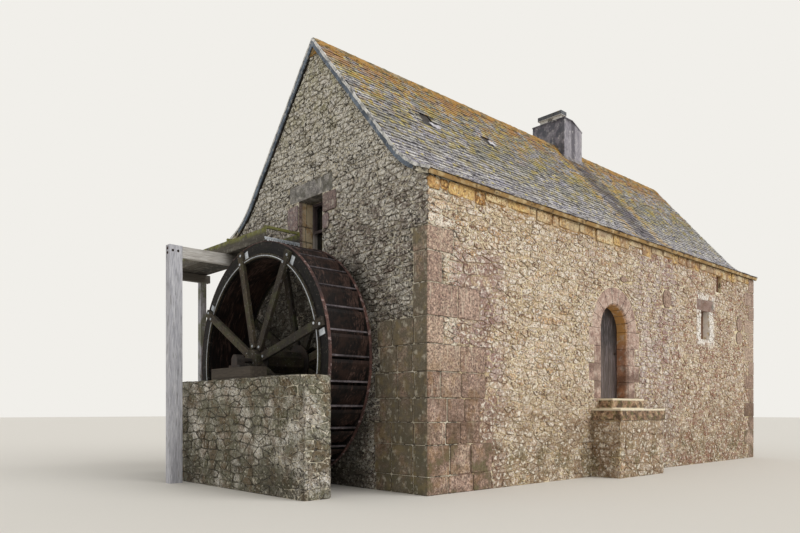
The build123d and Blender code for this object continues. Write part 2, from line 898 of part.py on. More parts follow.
def launder_bed():
    """The bottom board between the two sides."""
    low = launder_bottom + launder_bed_rise
    return block(launder_outer_x + launder_board_thickness,
                 launder_inner_x - launder_board_thickness,
                 launder_start_y, launder_end_y, low, low + launder_bed_thickness)


def launder_cross_bars():
    """Bars across the top that keep the sides apart."""
    run = launder_end_y - launder_start_y - cross_bar_size
    bars = []
    for row in range(cross_bar_count):
        y = launder_start_y + run * row / (cross_bar_count - 1)
        bars.append(block(launder_outer_x, launder_inner_x, y, y + cross_bar_size,
                          launder_top, launder_top + cross_bar_size))
    return together(bars)


def post(x, y, width, depth, top):
    """An upright timber from the ground."""
    return block(x - width / 2, x + width / 2, y - depth / 2, y + depth / 2, 0, top)


def trestle_posts():
    """The tall post beside the wheel and the two posts under the far end."""
    far_low = launder_bottom - far_beam_height
    half = far_post_size / 2
    return together([
        post(near_post_x, near_trestle_y, near_post_width, near_post_depth, launder_bottom),
        post(launder_outer_x + half, far_trestle_y, far_post_size, far_post_size, far_low),
        post(launder_inner_x - half, far_trestle_y, far_post_size, far_post_size, far_low),
    ])


def near_trestle_beam():
    """The beam from the tall post, under the launder, into the gable wall."""
    return block(near_post_x + near_post_width / 2, near_beam_bearing,
                 near_trestle_y - near_beam_thickness / 2, near_trestle_y + near_beam_thickness / 2,
                 launder_bottom - near_beam_height, launder_bottom)


def far_trestle_beam():
    """The beam over the far posts."""
    half = far_post_size / 2
    return block(launder_outer_x - far_beam_overhang, launder_inner_x + far_beam_overhang,
                 far_trestle_y - half, far_trestle_y + half,
                 launder_bottom - far_beam_height, launder_bottom)


nodes = {
    "wheel_gable_wall": wheel_gable_wall(),
    "far_gable_wall": gable_wall(house_length - wall_thickness),
    "back_wall": long_wall(wall_thickness, house_length - wall_thickness, 1),
    "front_wall_left": front_wall_left(),
    "front_wall_right": front_wall_right(),
    "front_wall_over_door": front_wall_over_door(),
    "front_wall_under_door": front_wall_under_door(),
    "door_inner_lintel": door_inner_lintel(),
    "door_jambs": together(jamb_blocks(-1) + jamb_blocks(1)),
    "door_arch": door_arch(),
    "door_sill": door_sill(),
    "entrance_step": entrance_step(),
    "entrance_base": entrance_base(),
    "window_lintels": together([gable_window_lintel(), small_window_lintel()]),
    "gable_window_frame": gable_window_frame(),
    "gable_window_glass": gable_window_glass(),
    "window_shutters": window_shutters(),
    "roof_front": roof_slope(-1),
    "roof_back": roof_slope(1),
    "ridge_cap": ridge_cap(),
    "verge_strips": verge_strips(),
    "chimney_stack": chimney_stack(),
    "chimney_slab": chimney_slab(),
    "chimney_cover": chimney_cover(),
    "ground_floor": ground_floor(),
    "floor_joists": floor_joists(),
    "door_pintles": door_pintles(),
    "door_leaf": door_leaf(),
    "door_ledges": door_ledges(),
    "door_ironwork": together(door_straps() + [door_ring()]),
    "wheel_shroud_outer": shroud(wheel_outer_x),
    "wheel_shroud_inner": shroud(wheel_inner_x - shroud_thickness),
    "wheel_arms_outer": together([arms(wheel_outer_x - arm_thickness),
                                  shroud_lining(wheel_outer_x - lining_thickness)]),
    "wheel_arms_inner": together([arms(wheel_inner_x), shroud_lining(wheel_inner_x)]),
    "wheel_hub_plates": together([hub_plate(wheel_outer_x),
                                  hub_plate(wheel_inner_x - hub_thickness)]),
    "wheel_sole_boards": sole_boards(),
    "wheel_bucket_floors": bucket_floors(),
    "wheel_bucket_fronts": bucket_fronts(),
    "wheel_axle": axle(),
    "wheel_gudgeons": gudgeons(),
    "axle_bearings": together([bearing(outer_bearing_x0, outer_bearing_height),
                               bearing(inner_bearing_x0, axle_hole_half)]),
    "bearing_beam": bearing_beam(),
    "pit_wall": pit_wall(),
    "launder_sides": together([launder_side(launder_outer_x),
                               launder_side(launder_inner_x - launder_board_thickness)]),
    "launder_bed": launder_bed(),
    "launder_cross_bars": launder_cross_bars(),
    "trestle_posts": trestle_posts(),
    "trestle_beams": together([near_trestle_beam(), far_trestle_beam()]),
}

os.makedirs("parts", exist_ok=True)
for name, shape in nodes.items():
    export_step(shape, f"parts/{name}.step")
    print(name, len(shape.solids()), round(shape.volume / 1e6, 2))
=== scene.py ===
"""Looks of the stone watermill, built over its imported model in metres.

X runs along the eaves, Y across the house and Z up. The wheel gable is the
plane X = 0, the ridge is over Y = 0, and the door faces -Y.
"""

import logging
import math
import random
from dataclasses import dataclass, field, replace
from enum import Enum
from functools import cache, partial
from typing import Any, Optional, Sequence

import bpy
from bpy.types import Material, Mesh, Node, NodeSocket, NodeTree, Object
from mathutils import Euler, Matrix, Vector, noise


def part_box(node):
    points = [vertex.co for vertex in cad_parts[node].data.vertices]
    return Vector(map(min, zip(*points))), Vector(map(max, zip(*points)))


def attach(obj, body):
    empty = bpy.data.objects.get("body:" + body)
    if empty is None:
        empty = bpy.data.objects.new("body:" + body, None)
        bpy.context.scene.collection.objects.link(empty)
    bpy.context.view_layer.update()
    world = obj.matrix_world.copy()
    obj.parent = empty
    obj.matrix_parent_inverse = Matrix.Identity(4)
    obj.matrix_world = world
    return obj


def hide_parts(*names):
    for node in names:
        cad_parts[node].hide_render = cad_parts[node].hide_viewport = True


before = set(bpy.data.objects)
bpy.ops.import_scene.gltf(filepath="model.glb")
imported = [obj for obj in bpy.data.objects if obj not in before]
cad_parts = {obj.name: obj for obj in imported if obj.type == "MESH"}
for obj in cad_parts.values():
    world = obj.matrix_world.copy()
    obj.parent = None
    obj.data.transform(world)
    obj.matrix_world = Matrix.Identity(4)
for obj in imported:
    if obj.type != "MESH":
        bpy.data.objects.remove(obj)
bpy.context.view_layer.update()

log = logging.getLogger("watermill")
Flat = tuple[float, float]
Gap = tuple[float, float, float, float]

HOUSE_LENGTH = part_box("far_gable_wall")[1].x
HALF_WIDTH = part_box("back_wall")[1].y
RIDGE_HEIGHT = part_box("roof_front")[1].z
STEP_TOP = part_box("entrance_step")[1].z
SILL_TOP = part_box("door_sill")[1].z
LAUNDER_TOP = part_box("launder_sides")[1].z
CHIMNEY_LOW, CHIMNEY_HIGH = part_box("chimney_stack")
WHEEL_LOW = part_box("wheel_shroud_outer")[0]
WHEEL_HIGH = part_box("wheel_shroud_inner")[1]
WHEEL_CENTRE = (WHEEL_LOW + WHEEL_HIGH) / 2
WHEEL_RADIUS = (WHEEL_HIGH.z - WHEEL_LOW.z) / 2
ARM_STEP = math.radians(45)
FIRST_ARM = math.radians(-60)


# Nodes and colours

MATHS = "ShaderNodeMath"


def linear(hex_colour: str) -> tuple[float, float, float, float]:
    """Turn an sRGB hex colour into the linear colour that a socket takes.

    Args:
        hex_colour: Six hex digits after a #.

    Returns:
        Red, green, blue and an alpha of 1.
    """
    parts = [int(hex_colour[i:i + 2], 16) / 255 for i in (1, 3, 5)]
    curved = [c / 12.92 if c <= 0.04045 else ((c + 0.055) / 1.055) ** 2.4 for c in parts]
    return (curved[0], curved[1], curved[2], 1.0)


def add_node(tree: NodeTree, kind: str, links: Optional[dict[Any, Any]] = None, **settings: Any) -> Node:
    """Add one node, set it and link it.

    Args:
        tree: The material's or modifier's node tree.
        kind: The node's class name in Blender.
        links: Input name, identifier or number to a node, a socket, a list
            of sockets or a plain value.
        settings: Properties of the node. "stops" gives a ramp its colours.

    Returns:
        The new node.
    """
    node = tree.nodes.new(kind)
    for key, value in settings.items():
        if key == "stops":
            ramp = node.color_ramp
            for index, (place, colour) in enumerate(value):
                stop = ramp.elements[index] if index < 2 else ramp.elements.new(place)
                stop.position = place
                stop.color = linear(colour)
        else:
            setattr(node, key, value)
    for key, value in (links or {}).items():
        if isinstance(key, int):
            socket = node.inputs[key]
        else:
            matches = [s for s in node.inputs if s.identifier == key]
            socket = (matches or [s for s in node.inputs if s.name == key])[0]
        sources = value if isinstance(value, list) else [value]
        for source in sources:
            if isinstance(source, Node):
                source = source.outputs[0]
            if isinstance(source, NodeSocket):
                tree.links.new(source, socket)
            else:
                socket.default_value = source
    return node


# Finishes

class Grain(Enum):
    """Which way the fibres of a timber run, or that there are none."""

    NONE = "none"
    ALONG_X = "along x"
    ALONG_Y = "along y"
    ALONG_Z = "along z"
    ALONG_ARM = "along arm"
    AROUND_WHEEL = "around wheel"


class Tone(Enum):
    """Where the place on a finish's palette comes from."""

    PIECE = "piece"
    PLACE = "place"


@dataclass(frozen=True)
class Limit:
    """A stain fades in along one axis, from nothing to its full strength."""

    axis: str
    none: float
    full: float


@dataclass(frozen=True)
class Stain:
    """Lichen, moss, damp, limewash or dirt that lies over a finish in patches. Some stains are painted light
    or shade.

    Where the patches' noise is under thin there is none, and over thick it's full.
    """

    colour: str
    strength: float
    size: float
    thin: float = 0.45
    thick: float = 0.6
    limits: tuple[Limit, ...] = ()
    stretch: tuple[float, float, float] = (1.0, 1.0, 1.0)


@dataclass(frozen=True)
class Shade:
    """Painted shade at a piece's edges, read from the shade stored on its points: on stones partly dirt in
    the joints, on slates the shadow of the next slate's tail.
    """

    colour: str
    strength: float
    none: float = 0.0
    full: float = 1.0
    broken: float = 0.0


@dataclass(frozen=True)
class Finish:
    """One real material and what its making gives the eye.

    Mottle, speckle and bump are each a strength and a size, and bump's strength is its
    depth in metres. The values here suit stone.
    """

    name: str
    palette: tuple[str, ...]
    tone: Tone = Tone.PLACE
    patch_size: float = 0.5
    mottle: Flat = (0.8, 0.06)
    speckle: Flat = (0.6, 0.025)
    grain: Grain = Grain.NONE
    grain_run: float = 16.0
    roughness: Flat = (0.8, 0.95)
    bump: Flat = (0.003, 0.03)
    metallic: float = 0.0
    ior: float = 1.5
    stains: tuple[Stain, ...] = ()
    shade: Optional[Shade] = None


@dataclass(frozen=True)
class Timber(Finish):
    """Sawn wood, with its colours and its relief drawn out along the fibres."""

    mottle: Flat = (0.7, 0.04)
    speckle: Flat = (0.4, 0.012)
    grain: Grain = Grain.ALONG_Z
    bump: Flat = (0.003, 0.02)


@dataclass(frozen=True)
class Metal(Finish):
    """Bare or coated iron, close-grained and half dull."""

    mottle: Flat = (0.6, 0.03)
    speckle: Flat = (0.4, 0.012)
    roughness: Flat = (0.5, 0.75)
    bump: Flat = (0.001, 0.01)
    metallic: float = 0.5


class Surface:
    """Builds the material of one finish."""

    def __init__(self, finish: Finish) -> None:
        """Make an empty material named for the finish.

        Args:
            finish: What the material is to show.
        """
        self.finish = finish
        self.material = bpy.data.materials.new(finish.name)
        self.material.use_nodes = True
        self.material.node_tree.nodes.clear()
        self.add = partial(add_node, self.material.node_tree)
        self.place = self.add("ShaderNodeTexCoord").outputs["Object"]
        self.axes = self.add("ShaderNodeSeparateXYZ", {0: self.place})

    def wheel_coordinates(self, along_arm: bool) -> Node:
        """Coordinates that follow the wheel's arms or its rim.

        Args:
            along_arm: True for the arms, False for boards bent round the rim.

        Returns:
            A node whose vector has the fibre direction on Z.
        """
        centred = self.add("ShaderNodeVectorMath", {
            0: self.place, 1: tuple(WHEEL_CENTRE)}, operation="SUBTRACT")
        flat = self.add("ShaderNodeVectorMath", {0: centred, 1: (0.0, 1.0, 1.0)}, operation="MULTIPLY")
        radius = self.add("ShaderNodeVectorMath", {0: flat}, operation="LENGTH")
        radius = radius.outputs["Value"]
        parts = self.add("ShaderNodeSeparateXYZ", {0: flat})
        turn = self.add(MATHS, {0: parts.outputs["Y"], 1: parts.outputs["Z"]}, operation="ARCTAN2")
        if not along_arm:
            along = self.add(MATHS, {0: turn, 1: WHEEL_RADIUS}, operation="MULTIPLY")
            return self.add("ShaderNodeCombineXYZ", {"X": self.axes.outputs["X"], "Y": radius, "Z": along})
        ahead = self.add(MATHS, {0: turn, 1: FIRST_ARM}, operation="ADD")
        share = self.add(MATHS, {0: ahead, 1: ARM_STEP}, operation="DIVIDE")
        arm = self.add(MATHS, {0: share}, operation="ROUND")
        local = self.add(MATHS, {0: arm, 1: -ARM_STEP, 2: ahead}, operation="MULTIPLY_ADD")
        sine = self.add(MATHS, {0: local}, operation="SINE")
        cosine = self.add(MATHS, {0: local}, operation="COSINE")
        across = self.add(MATHS, {0: radius, 1: sine}, operation="MULTIPLY")
        along = self.add(MATHS, {0: radius, 1: cosine}, operation="MULTIPLY")
        # Each arm reads its own part of the noise, this far from the next one's.
        apart = 3.7
        x = self.axes.outputs["X"]
        shifted = self.add(MATHS, {0: arm, 1: apart, 2: x}, operation="MULTIPLY_ADD")
        return self.add("ShaderNodeCombineXYZ", {"X": shifted, "Y": across, "Z": along})

    def coordinates(self) -> Any:
        """Find where the pattern is read, drawn out along the grain.

        Returns:
            The socket or node that gives the coordinates.
        """
        run = 1.0 / self.finish.grain_run
        grain = self.finish.grain
        if grain is Grain.NONE:
            return self.place
        if grain in (Grain.ALONG_ARM, Grain.AROUND_WHEEL):
            source = self.wheel_coordinates(grain is Grain.ALONG_ARM)
            scale = (1.0, 1.0, run)
        else:
            source = self.place
            scale = tuple(run if grain.value.endswith(axis) else 1.0 for axis in "xyz")
        return self.add("ShaderNodeMapping", {"Vector": source, "Scale": scale})

    def patches(self, source: Any, size: float, thin: float, thick: float, detail: float = 4.0) -> Node:
        """Soft patches from 0 to 1.

        Args:
            source: The coordinates that the pattern reads.
            size: About how large a patch is, in metres.
            thin: The noise value that gives 0.
            thick: The noise value that gives 1.
            detail: How ragged the patches are.

        Returns:
            The node that gives the patches.
        """
        cloud = self.add("ShaderNodeTexNoise", {
            "Vector": source, "Scale": 1.0 / size, "Detail": detail, "Roughness": 0.6})
        return self.add("ShaderNodeMapRange", {"Value": cloud, "From Min": thin, "From Max": thick})

    def base_colour(self, source: Any) -> NodeSocket:
        """Take the colour from the palette, mottled and speckled.

        Args:
            source: The coordinates that the pattern reads.

        Returns:
            The colour before any stain.
        """
        finish = self.finish
        mottle = self.patches(source, finish.mottle[1], 0.25, 0.75)
        if finish.tone is Tone.PIECE:
            own = self.add("ShaderNodeAttribute", attribute_name="tone")
            tone = own.outputs["Fac"]
        else:
            tone = self.patches(source, finish.patch_size, 0.3, 0.7, 2.0)
        centred = self.add(MATHS, {0: mottle, 1: 0.5}, operation="SUBTRACT")
        mixed = self.add(MATHS, {0: centred, 1: finish.mottle[0], 2: tone}, operation="MULTIPLY_ADD")
        last = len(finish.palette) - 1
        stops = [(i / last, colour) for i, colour in enumerate(finish.palette)]
        ramp = self.add("ShaderNodeValToRGB", {"Fac": mixed}, stops=stops)
        dots = self.patches(source, finish.speckle[1], 0.3, 0.7, 6.0)
        speckled = self.add("ShaderNodeMix", {
            "Factor_Float": finish.speckle[0], "A_Color": ramp, "B_Color": dots},
            data_type="RGBA", blend_type="OVERLAY")
        return speckled.outputs[2]

    def cover(self, colour: NodeSocket, over: str, mask: Any, strength: float) -> NodeSocket:
        """Cover a colour with another where a mask says so.

        Args:
            colour: The colour so far.
            over: What lies over it.
            mask: Where, from 0 to 1.
            strength: How strong it is at most.

        Returns:
            The covered colour.
        """
        share = self.add(MATHS, {0: mask, 1: strength}, operation="MULTIPLY")
        laid = self.add("ShaderNodeMix", {
            "Factor_Float": share, "A_Color": colour, "B_Color": linear(over)}, data_type="RGBA")
        return laid.outputs[2]

    def lay_stain(self, colour: NodeSocket, stain: Stain) -> NodeSocket:
        """Lay one stain over a colour.

        Args:
            colour: The colour so far.
            stain: What lies on it, and where.

        Returns:
            The stained colour.
        """
        # Each size of stain reads its own part of the noise.
        shift = (stain.size * 31, 7.0, 3.0)
        source = self.add("ShaderNodeMapping", {
            "Vector": self.place, "Scale": tuple(1.0 / s for s in stain.stretch), "Location": shift})
        mask = self.patches(source, stain.size, stain.thin, stain.thick)
        for limit in stain.limits:
            fade = self.add("ShaderNodeMapRange", {
                "Value": self.axes.outputs[limit.axis], "From Min": limit.none,
                "From Max": limit.full}, interpolation_type="SMOOTHSTEP")
            mask = self.add(MATHS, {0: mask, 1: fade}, operation="MULTIPLY")
        return self.cover(colour, stain.colour, mask, stain.strength)

    def darken_edges(self, colour: NodeSocket, shade: Shade) -> NodeSocket:
        """Paint shade on a colour where the piece's stored shade is high.

        Args:
            colour: The colour so far.
            shade: How dark, and between which stored values.

        Returns:
            The darkened colour.
        """
        own = self.add("ShaderNodeAttribute", attribute_name="shade")
        mask = self.add("ShaderNodeMapRange", {
            "Value": own.outputs["Fac"], "From Min": shade.none, "From Max": shade.full})
        if shade.broken:
            holes = self.patches(self.place, shade.broken, 0.36, 0.54)
            mask = self.add(MATHS, {0: mask, 1: holes}, operation="MULTIPLY")
        return self.cover(colour, shade.colour, mask, shade.strength)

    def build(self) -> Material:
        """Join colour, stains, painted shade, relief and gloss.

        Returns:
            The finished material.
        """
        finish = self.finish
        source = self.coordinates()
        colour = self.base_colour(source)
        for stain in finish.stains:
            colour = self.lay_stain(colour, stain)
        if finish.shade:
            colour = self.darken_edges(colour, finish.shade)
        relief = self.patches(source, finish.bump[1], 0.2, 0.8, 6.0)
        bump = self.add("ShaderNodeBump", {"Strength": 1.0, "Distance": finish.bump[0], "Height": relief})
        gloss = self.add("ShaderNodeMapRange", {
            "Value": relief, "To Min": finish.roughness[0], "To Max": finish.roughness[1]})
        shader = self.add("ShaderNodeBsdfPrincipled", {
            "Base Color": colour, "Roughness": gloss, "Normal": bump,
            "Metallic": finish.metallic, "IOR": finish.ior})
        self.add("ShaderNodeOutputMaterial", {"Surface": shader})
        return self.material


# Where some stains, and some painted light and shade, lie. ON_FRONT keeps them on the outside of the door's
# wall.
ON_FRONT = Limit("Y", -2.6, -2.8)
# UNDER_EAVES places an ochre band under the eaves: partly lichen, partly painted warm shade.
UNDER_EAVES = (Limit("Z", 4.45, 4.75), ON_FRONT)
NEAR_WHEEL = (Limit("Z", 3.4, 1.9), Limit("X", 0.2, 0.0), Limit("Y", -1.2, -0.6))
# BEHIND_WHEEL places painted shade of the wheel and launder on the gable, partly damp from the spray.
BEHIND_WHEEL = (Limit("X", 0.2, 0.0), Limit("Y", -1.9, -1.1), Limit("Z", 4.1, 3.4))
NEAR_CORNER = (Limit("X", 2.1, 1.5), Limit("X", 0.35, 0.75), Limit("Z", 4.1, 3.7))
SMALL_WINDOW = (Limit("X", 9.05, 9.2), Limit("X", 10.2, 9.98), Limit("Z", 2.8, 2.95),
                Limit("Z", 4.2, 4.02), ON_FRONT)
RIGHT_OF_DOOR = (Limit("X", 5.9, 6.5), Limit("X", 8.6, 7.6), ON_FRONT)
FAR_OF_DOOR = (Limit("X", 5.6, 7.2), ON_FRONT)
DOOR_REVEAL = (Limit("Y", -2.87, -2.8),)
GABLE_SIDE = (Limit("Y", -2.88, -2.86), Limit("X", 0.3, 0.02))
WINDOW_REVEAL = (Limit("X", 0.05, 0.12),)
EAVES_EDGE = (Limit("Y", -2.93, -2.955),)
CHIMNEY_SIDE = (Limit("X", 7.45, 7.415),)
DRIPS = (0.5, 0.5, 5.0)

# Field stones laid as found: weathered granite and schist, matt and rough. Their
# grit is under 5 mm, so the speckle is drawn at 25 mm to show from the camera.
# Their fine dark specks are painted shade in the stones' crevices.
FRONT_STONE = Finish(
    "field_stone_front", ("#7a5c49", "#d6c6a4", "#a3836c", "#eadfc8", "#8c6d60", "#dcc9a2",
    "#b49079", "#f2ead8", "#82655a", "#c4a47c"), tone=Tone.PIECE, mottle=(0.6, 0.04),
    speckle=(0.8, 0.025), bump=(0.01, 0.035), shade=Shade("#5c422c", 0.8, 0.15, 1.0, broken=0.12),
    stains=(
        Stain("#8b6a6c", 0.62, 0.4, 0.36, 0.52, NEAR_CORNER),
        Stain("#93705e", 0.5, 0.5, 0.45, 0.6, (Limit("X", 2.5, 5.5),)),
        Stain("#a5969c", 0.5, 0.3, 0.4, 0.55, RIGHT_OF_DOOR),
        Stain("#ebe5dc", 0.6, 0.12, 0.52, 0.62, RIGHT_OF_DOOR + (Limit("Z", 3.4, 2.8),)),
        Stain("#7a6144", 0.62, 0.4, 0.36, 0.56, (Limit("Z", 2.2, 0.7),)),
        Stain("#5f5a32", 0.6, 0.3, 0.48, 0.6, (Limit("Z", 1.1, 0.3),)),
        Stain("#9a7038", 0.5, 0.3, 0.42, 0.58, UNDER_EAVES),
        Stain("#86503d", 0.55, 0.22, 0.48, 0.58, FAR_OF_DOOR),
        Stain("#f4ecdc", 0.75, 0.07, 0.53, 0.62),
        Stain("#f3eee6", 0.9, 0.16, 0.4, 0.5, SMALL_WINDOW),
        Stain("#3a2a1c", 0.85, 0.04, 0.56, 0.64)))

# The same stones on the weather side: greyer, damp near the wheel, with dark joints that are partly painted
# shade, and darker behind the wheel with painted shade of the wheel and launder, partly damp.
GABLE_STONE = Finish(
    "field_stone_gable", ("#544c44", "#dcd8ca", "#8f857a", "#f4f1e6", "#6d6259", "#e6e0d1",
    "#b9b0a4", "#f8f5ec", "#5d534c", "#cfc6b5"), tone=Tone.PIECE, mottle=(0.8, 0.04),
    speckle=(0.9, 0.025), bump=(0.012, 0.035), shade=Shade("#2e261f", 0.72, 0.25, 1.0, broken=0.14),
    stains=(
        Stain("#5f493e", 0.65, 0.3, 0.4, 0.55, (Limit("Z", 5.6, 4.4),)),
        Stain("#aca678", 0.5, 0.3, 0.44, 0.58, (Limit("Z", 5.6, 7.0),)),
        Stain("#4c4a2a", 0.78, 0.35, 0.38, 0.54, NEAR_WHEEL),
        Stain("#4b4334", 0.55, 0.5, 0.42, 0.6, (Limit("Z", 4.4, 2.6),)),
        Stain("#f1ecdf", 0.8, 0.06, 0.53, 0.62),
        Stain("#1f1a16", 0.9, 0.05, 0.54, 0.62),
        Stain("#2b271d", 0.72, 0.45, 0.32, 0.46, BEHIND_WHEEL)))

# The same again in the wheel's spray, which keeps them mossy and rusty.
PIT_STONE = replace(
    GABLE_STONE, name="field_stone_pit", stains=(
        Stain("#4d4b2b", 0.78, 0.4, 0.38, 0.54),
        Stain("#65492c", 0.5, 0.25, 0.48, 0.6),
        Stain("#3d382a", 0.6, 0.5, 0.4, 0.55, (Limit("Z", 0.9, 0.2),)),
        Stain("#d9d2bf", 0.6, 0.06, 0.57, 0.66),
        Stain("#1f1a16", 0.85, 0.045, 0.56, 0.65)))

# Lime mortar, struck by hand: pale, sandy, with dark holes, partly where it has gone and partly painted
# shadow in the joints.
FRONT_MORTAR = Finish(
    "lime_mortar_front", ("#b39d76", "#dccba6", "#efe4ca"), patch_size=0.4, mottle=(0.7, 0.09),
    speckle=(0.45, 0.025), bump=(0.006, 0.04), stains=(
        Stain("#4a3724", 0.85, 0.1, 0.52, 0.62),
        Stain("#7d6048", 0.6, 0.4, 0.4, 0.55, (Limit("Z", 2.2, 0.7),)),
        Stain("#7c5a52", 0.7, 0.35, 0.4, 0.52, NEAR_CORNER),
        Stain("#f3eee6", 0.9, 0.2, 0.35, 0.45, SMALL_WINDOW),
        Stain("#a5742f", 0.8, 0.4, 0.36, 0.5, UNDER_EAVES)))

# The same mortar washed out by rain: greyer, with more and larger dark holes, partly painted shadow in the
# joints, and painted shade behind the wheel.
GABLE_MORTAR = Finish(
    "lime_mortar_gable", ("#9b917d", "#c8bfa9", "#e4dcc9"), patch_size=0.4, mottle=(0.7, 0.09),
    speckle=(0.45, 0.025), bump=(0.006, 0.04), stains=(
        Stain("#241d17", 0.92, 0.12, 0.5, 0.58),
        Stain("#4c4a2a", 0.75, 0.3, 0.4, 0.55, NEAR_WHEEL),
        Stain("#28241b", 0.8, 0.45, 0.32, 0.46, BEHIND_WHEEL)))

# The wall's top course, golden: partly lichen under the slates' drip, partly painted warm shade under the
# eaves.
EAVES_STONE = Finish(
    "lichen_and_shade_eaves_stone", ("#8d6334", "#c19a5e", "#d1af72", "#a57742", "#e1c99a", "#966a3c"),
    tone=Tone.PIECE, mottle=(0.6, 0.06), speckle=(0.7, 0.03), bump=(0.008, 0.035),
    shade=Shade("#5a3b1e", 0.7, 0.15, 1.0, broken=0.2), stains=(
        Stain("#d3c5a4", 0.7, 0.5, 0.44, 0.54, (Limit("X", 1.0, 5.0),)),
        Stain("#8a6c58", 0.7, 0.4, 0.46, 0.58, (Limit("X", 1.5, 6.0),)),
        Stain("#e2d4b2", 0.6, 0.08, 0.56, 0.65),
        Stain("#4a2e16", 0.75, 0.05, 0.56, 0.66)))

# Dressed granite, worked flat with a point: close pinkish grain in broad clouds. The door's reveal is
# painted orange-tan as bounced light.
DRESSED_STONE = Finish(
    "dressed_granite", ("#7a5f54", "#a68a7c", "#c0a797", "#8c7064"), patch_size=0.35,
    mottle=(0.8, 0.08), speckle=(0.65, 0.025), roughness=(0.7, 0.85), bump=(0.004, 0.025), stains=(
        Stain("#b0744a", 0.75, 0.35, 0.3, 0.5, DOOR_REVEAL),
        Stain("#cf9c58", 0.85, 0.5, 0.2, 0.4, DOOR_REVEAL + (Limit("Z", 2.5, 2.9),)),
        Stain("#d5c8b8", 0.5, 0.1, 0.53, 0.64),
        Stain("#5c4436", 0.7, 0.3, 0.42, 0.58, (Limit("Z", 2.9, 1.9),))))

# Pointing between the arch stones, dark where weather has picked it out.
ARCH_POINTING = Finish(
    "worn_arch_pointing", ("#3b2e27", "#5d4b3f", "#8c7868"), patch_size=0.08, mottle=(0.8, 0.08),
    speckle=(0.4, 0.012))

# Split granite lintels, left rough: coarse grey faces with lichen rings.
LINTEL_STONE = Finish(
    "rough_granite_lintel", ("#6f6c69", "#8f8b87", "#a7a29b"), patch_size=0.3, mottle=(0.8, 0.07),
    bump=(0.01, 0.06), stains=(
        Stain("#d6d0c4", 0.5, 0.1, 0.54, 0.64),
        Stain("#4c4a3a", 0.7, 0.2, 0.48, 0.6),
        Stain("#8c6655", 0.6, 0.3, 0.3, 0.5, (Limit("X", 4.0, 6.0),))))

# Granite steps: treads painted pale as light from above, risers dark, damp and a little mossy.
STEP_STONE = Finish(
    "worn_granite_step", ("#775b47", "#a08166", "#c6ae90"), patch_size=0.25, mottle=(0.8, 0.07),
    speckle=(0.6, 0.03), bump=(0.014, 0.06), stains=(
        Stain("#3f3020", 0.8, 0.14, 0.45, 0.56),
        Stain("#67682f", 0.5, 0.1, 0.52, 0.62),
        Stain("#ece0c6", 0.95, 0.5, 0.1, 0.3, (Limit("Z", STEP_TOP - 0.05, STEP_TOP - 0.02),
              Limit("Z", STEP_TOP + 0.03, STEP_TOP + 0.004))),
        Stain("#ece0c6", 0.95, 0.5, 0.1, 0.3, (Limit("Z", SILL_TOP - 0.05, SILL_TOP - 0.02),))))

# Corner blocks of granite, squared with a pick: rosy, pitted, with limy drips.
CORNER_STONE = Finish(
    "dressed_corner_granite", ("#7b6252", "#a88f7e", "#92796b", "#bca691", "#866c5f", "#ae9585"),
    tone=Tone.PIECE, speckle=(0.8, 0.025), bump=(0.007, 0.035),
    shade=Shade("#3b2a1d", 0.85, 0.2, 1.0), stains=(
        Stain("#8c6a38", 0.4, 0.2, 0.5, 0.62, (Limit("Z", 2.9, 1.4),)),
        Stain("#d8cbb4", 0.5, 0.09, 0.58, 0.68, stretch=DRIPS),
        Stain("#5a4332", 0.7, 0.3, 0.4, 0.56, (Limit("Z", 2.6, 0.7),)),
        Stain("#5d6035", 0.5, 0.3, 0.5, 0.62, (Limit("Z", 1.2, 0.3),)),
        Stain("#33261d", 0.7, 0.05, 0.6, 0.68),
        Stain("#615d4c", 0.8, 0.5, 0.3, 0.5, GABLE_SIDE),
        Stain("#948258", 0.4, 0.18, 0.5, 0.62, GABLE_SIDE),
        Stain("#cfc7b4", 0.6, 0.12, 0.56, 0.66, GABLE_SIDE)))

# Jamb stones of the gable window: rosy granite, painted pale tan on the reveal as light falls into it.
JAMB_STONE = Finish(
    "rosy_jamb_granite", ("#7b6b66", "#97817a", "#867b7c"), tone=Tone.PIECE, speckle=(0.75, 0.025),
    bump=(0.006, 0.03), shade=Shade("#3a2c24", 0.8, 0.2, 1.0), stains=(
        Stain("#e6d3ae", 0.9, 0.3, 0.2, 0.4, WINDOW_REVEAL),
        Stain("#a97a44", 0.6, 0.12, 0.5, 0.62, WINDOW_REVEAL),
        Stain("#d8cfbf", 0.5, 0.08, 0.55, 0.65)))

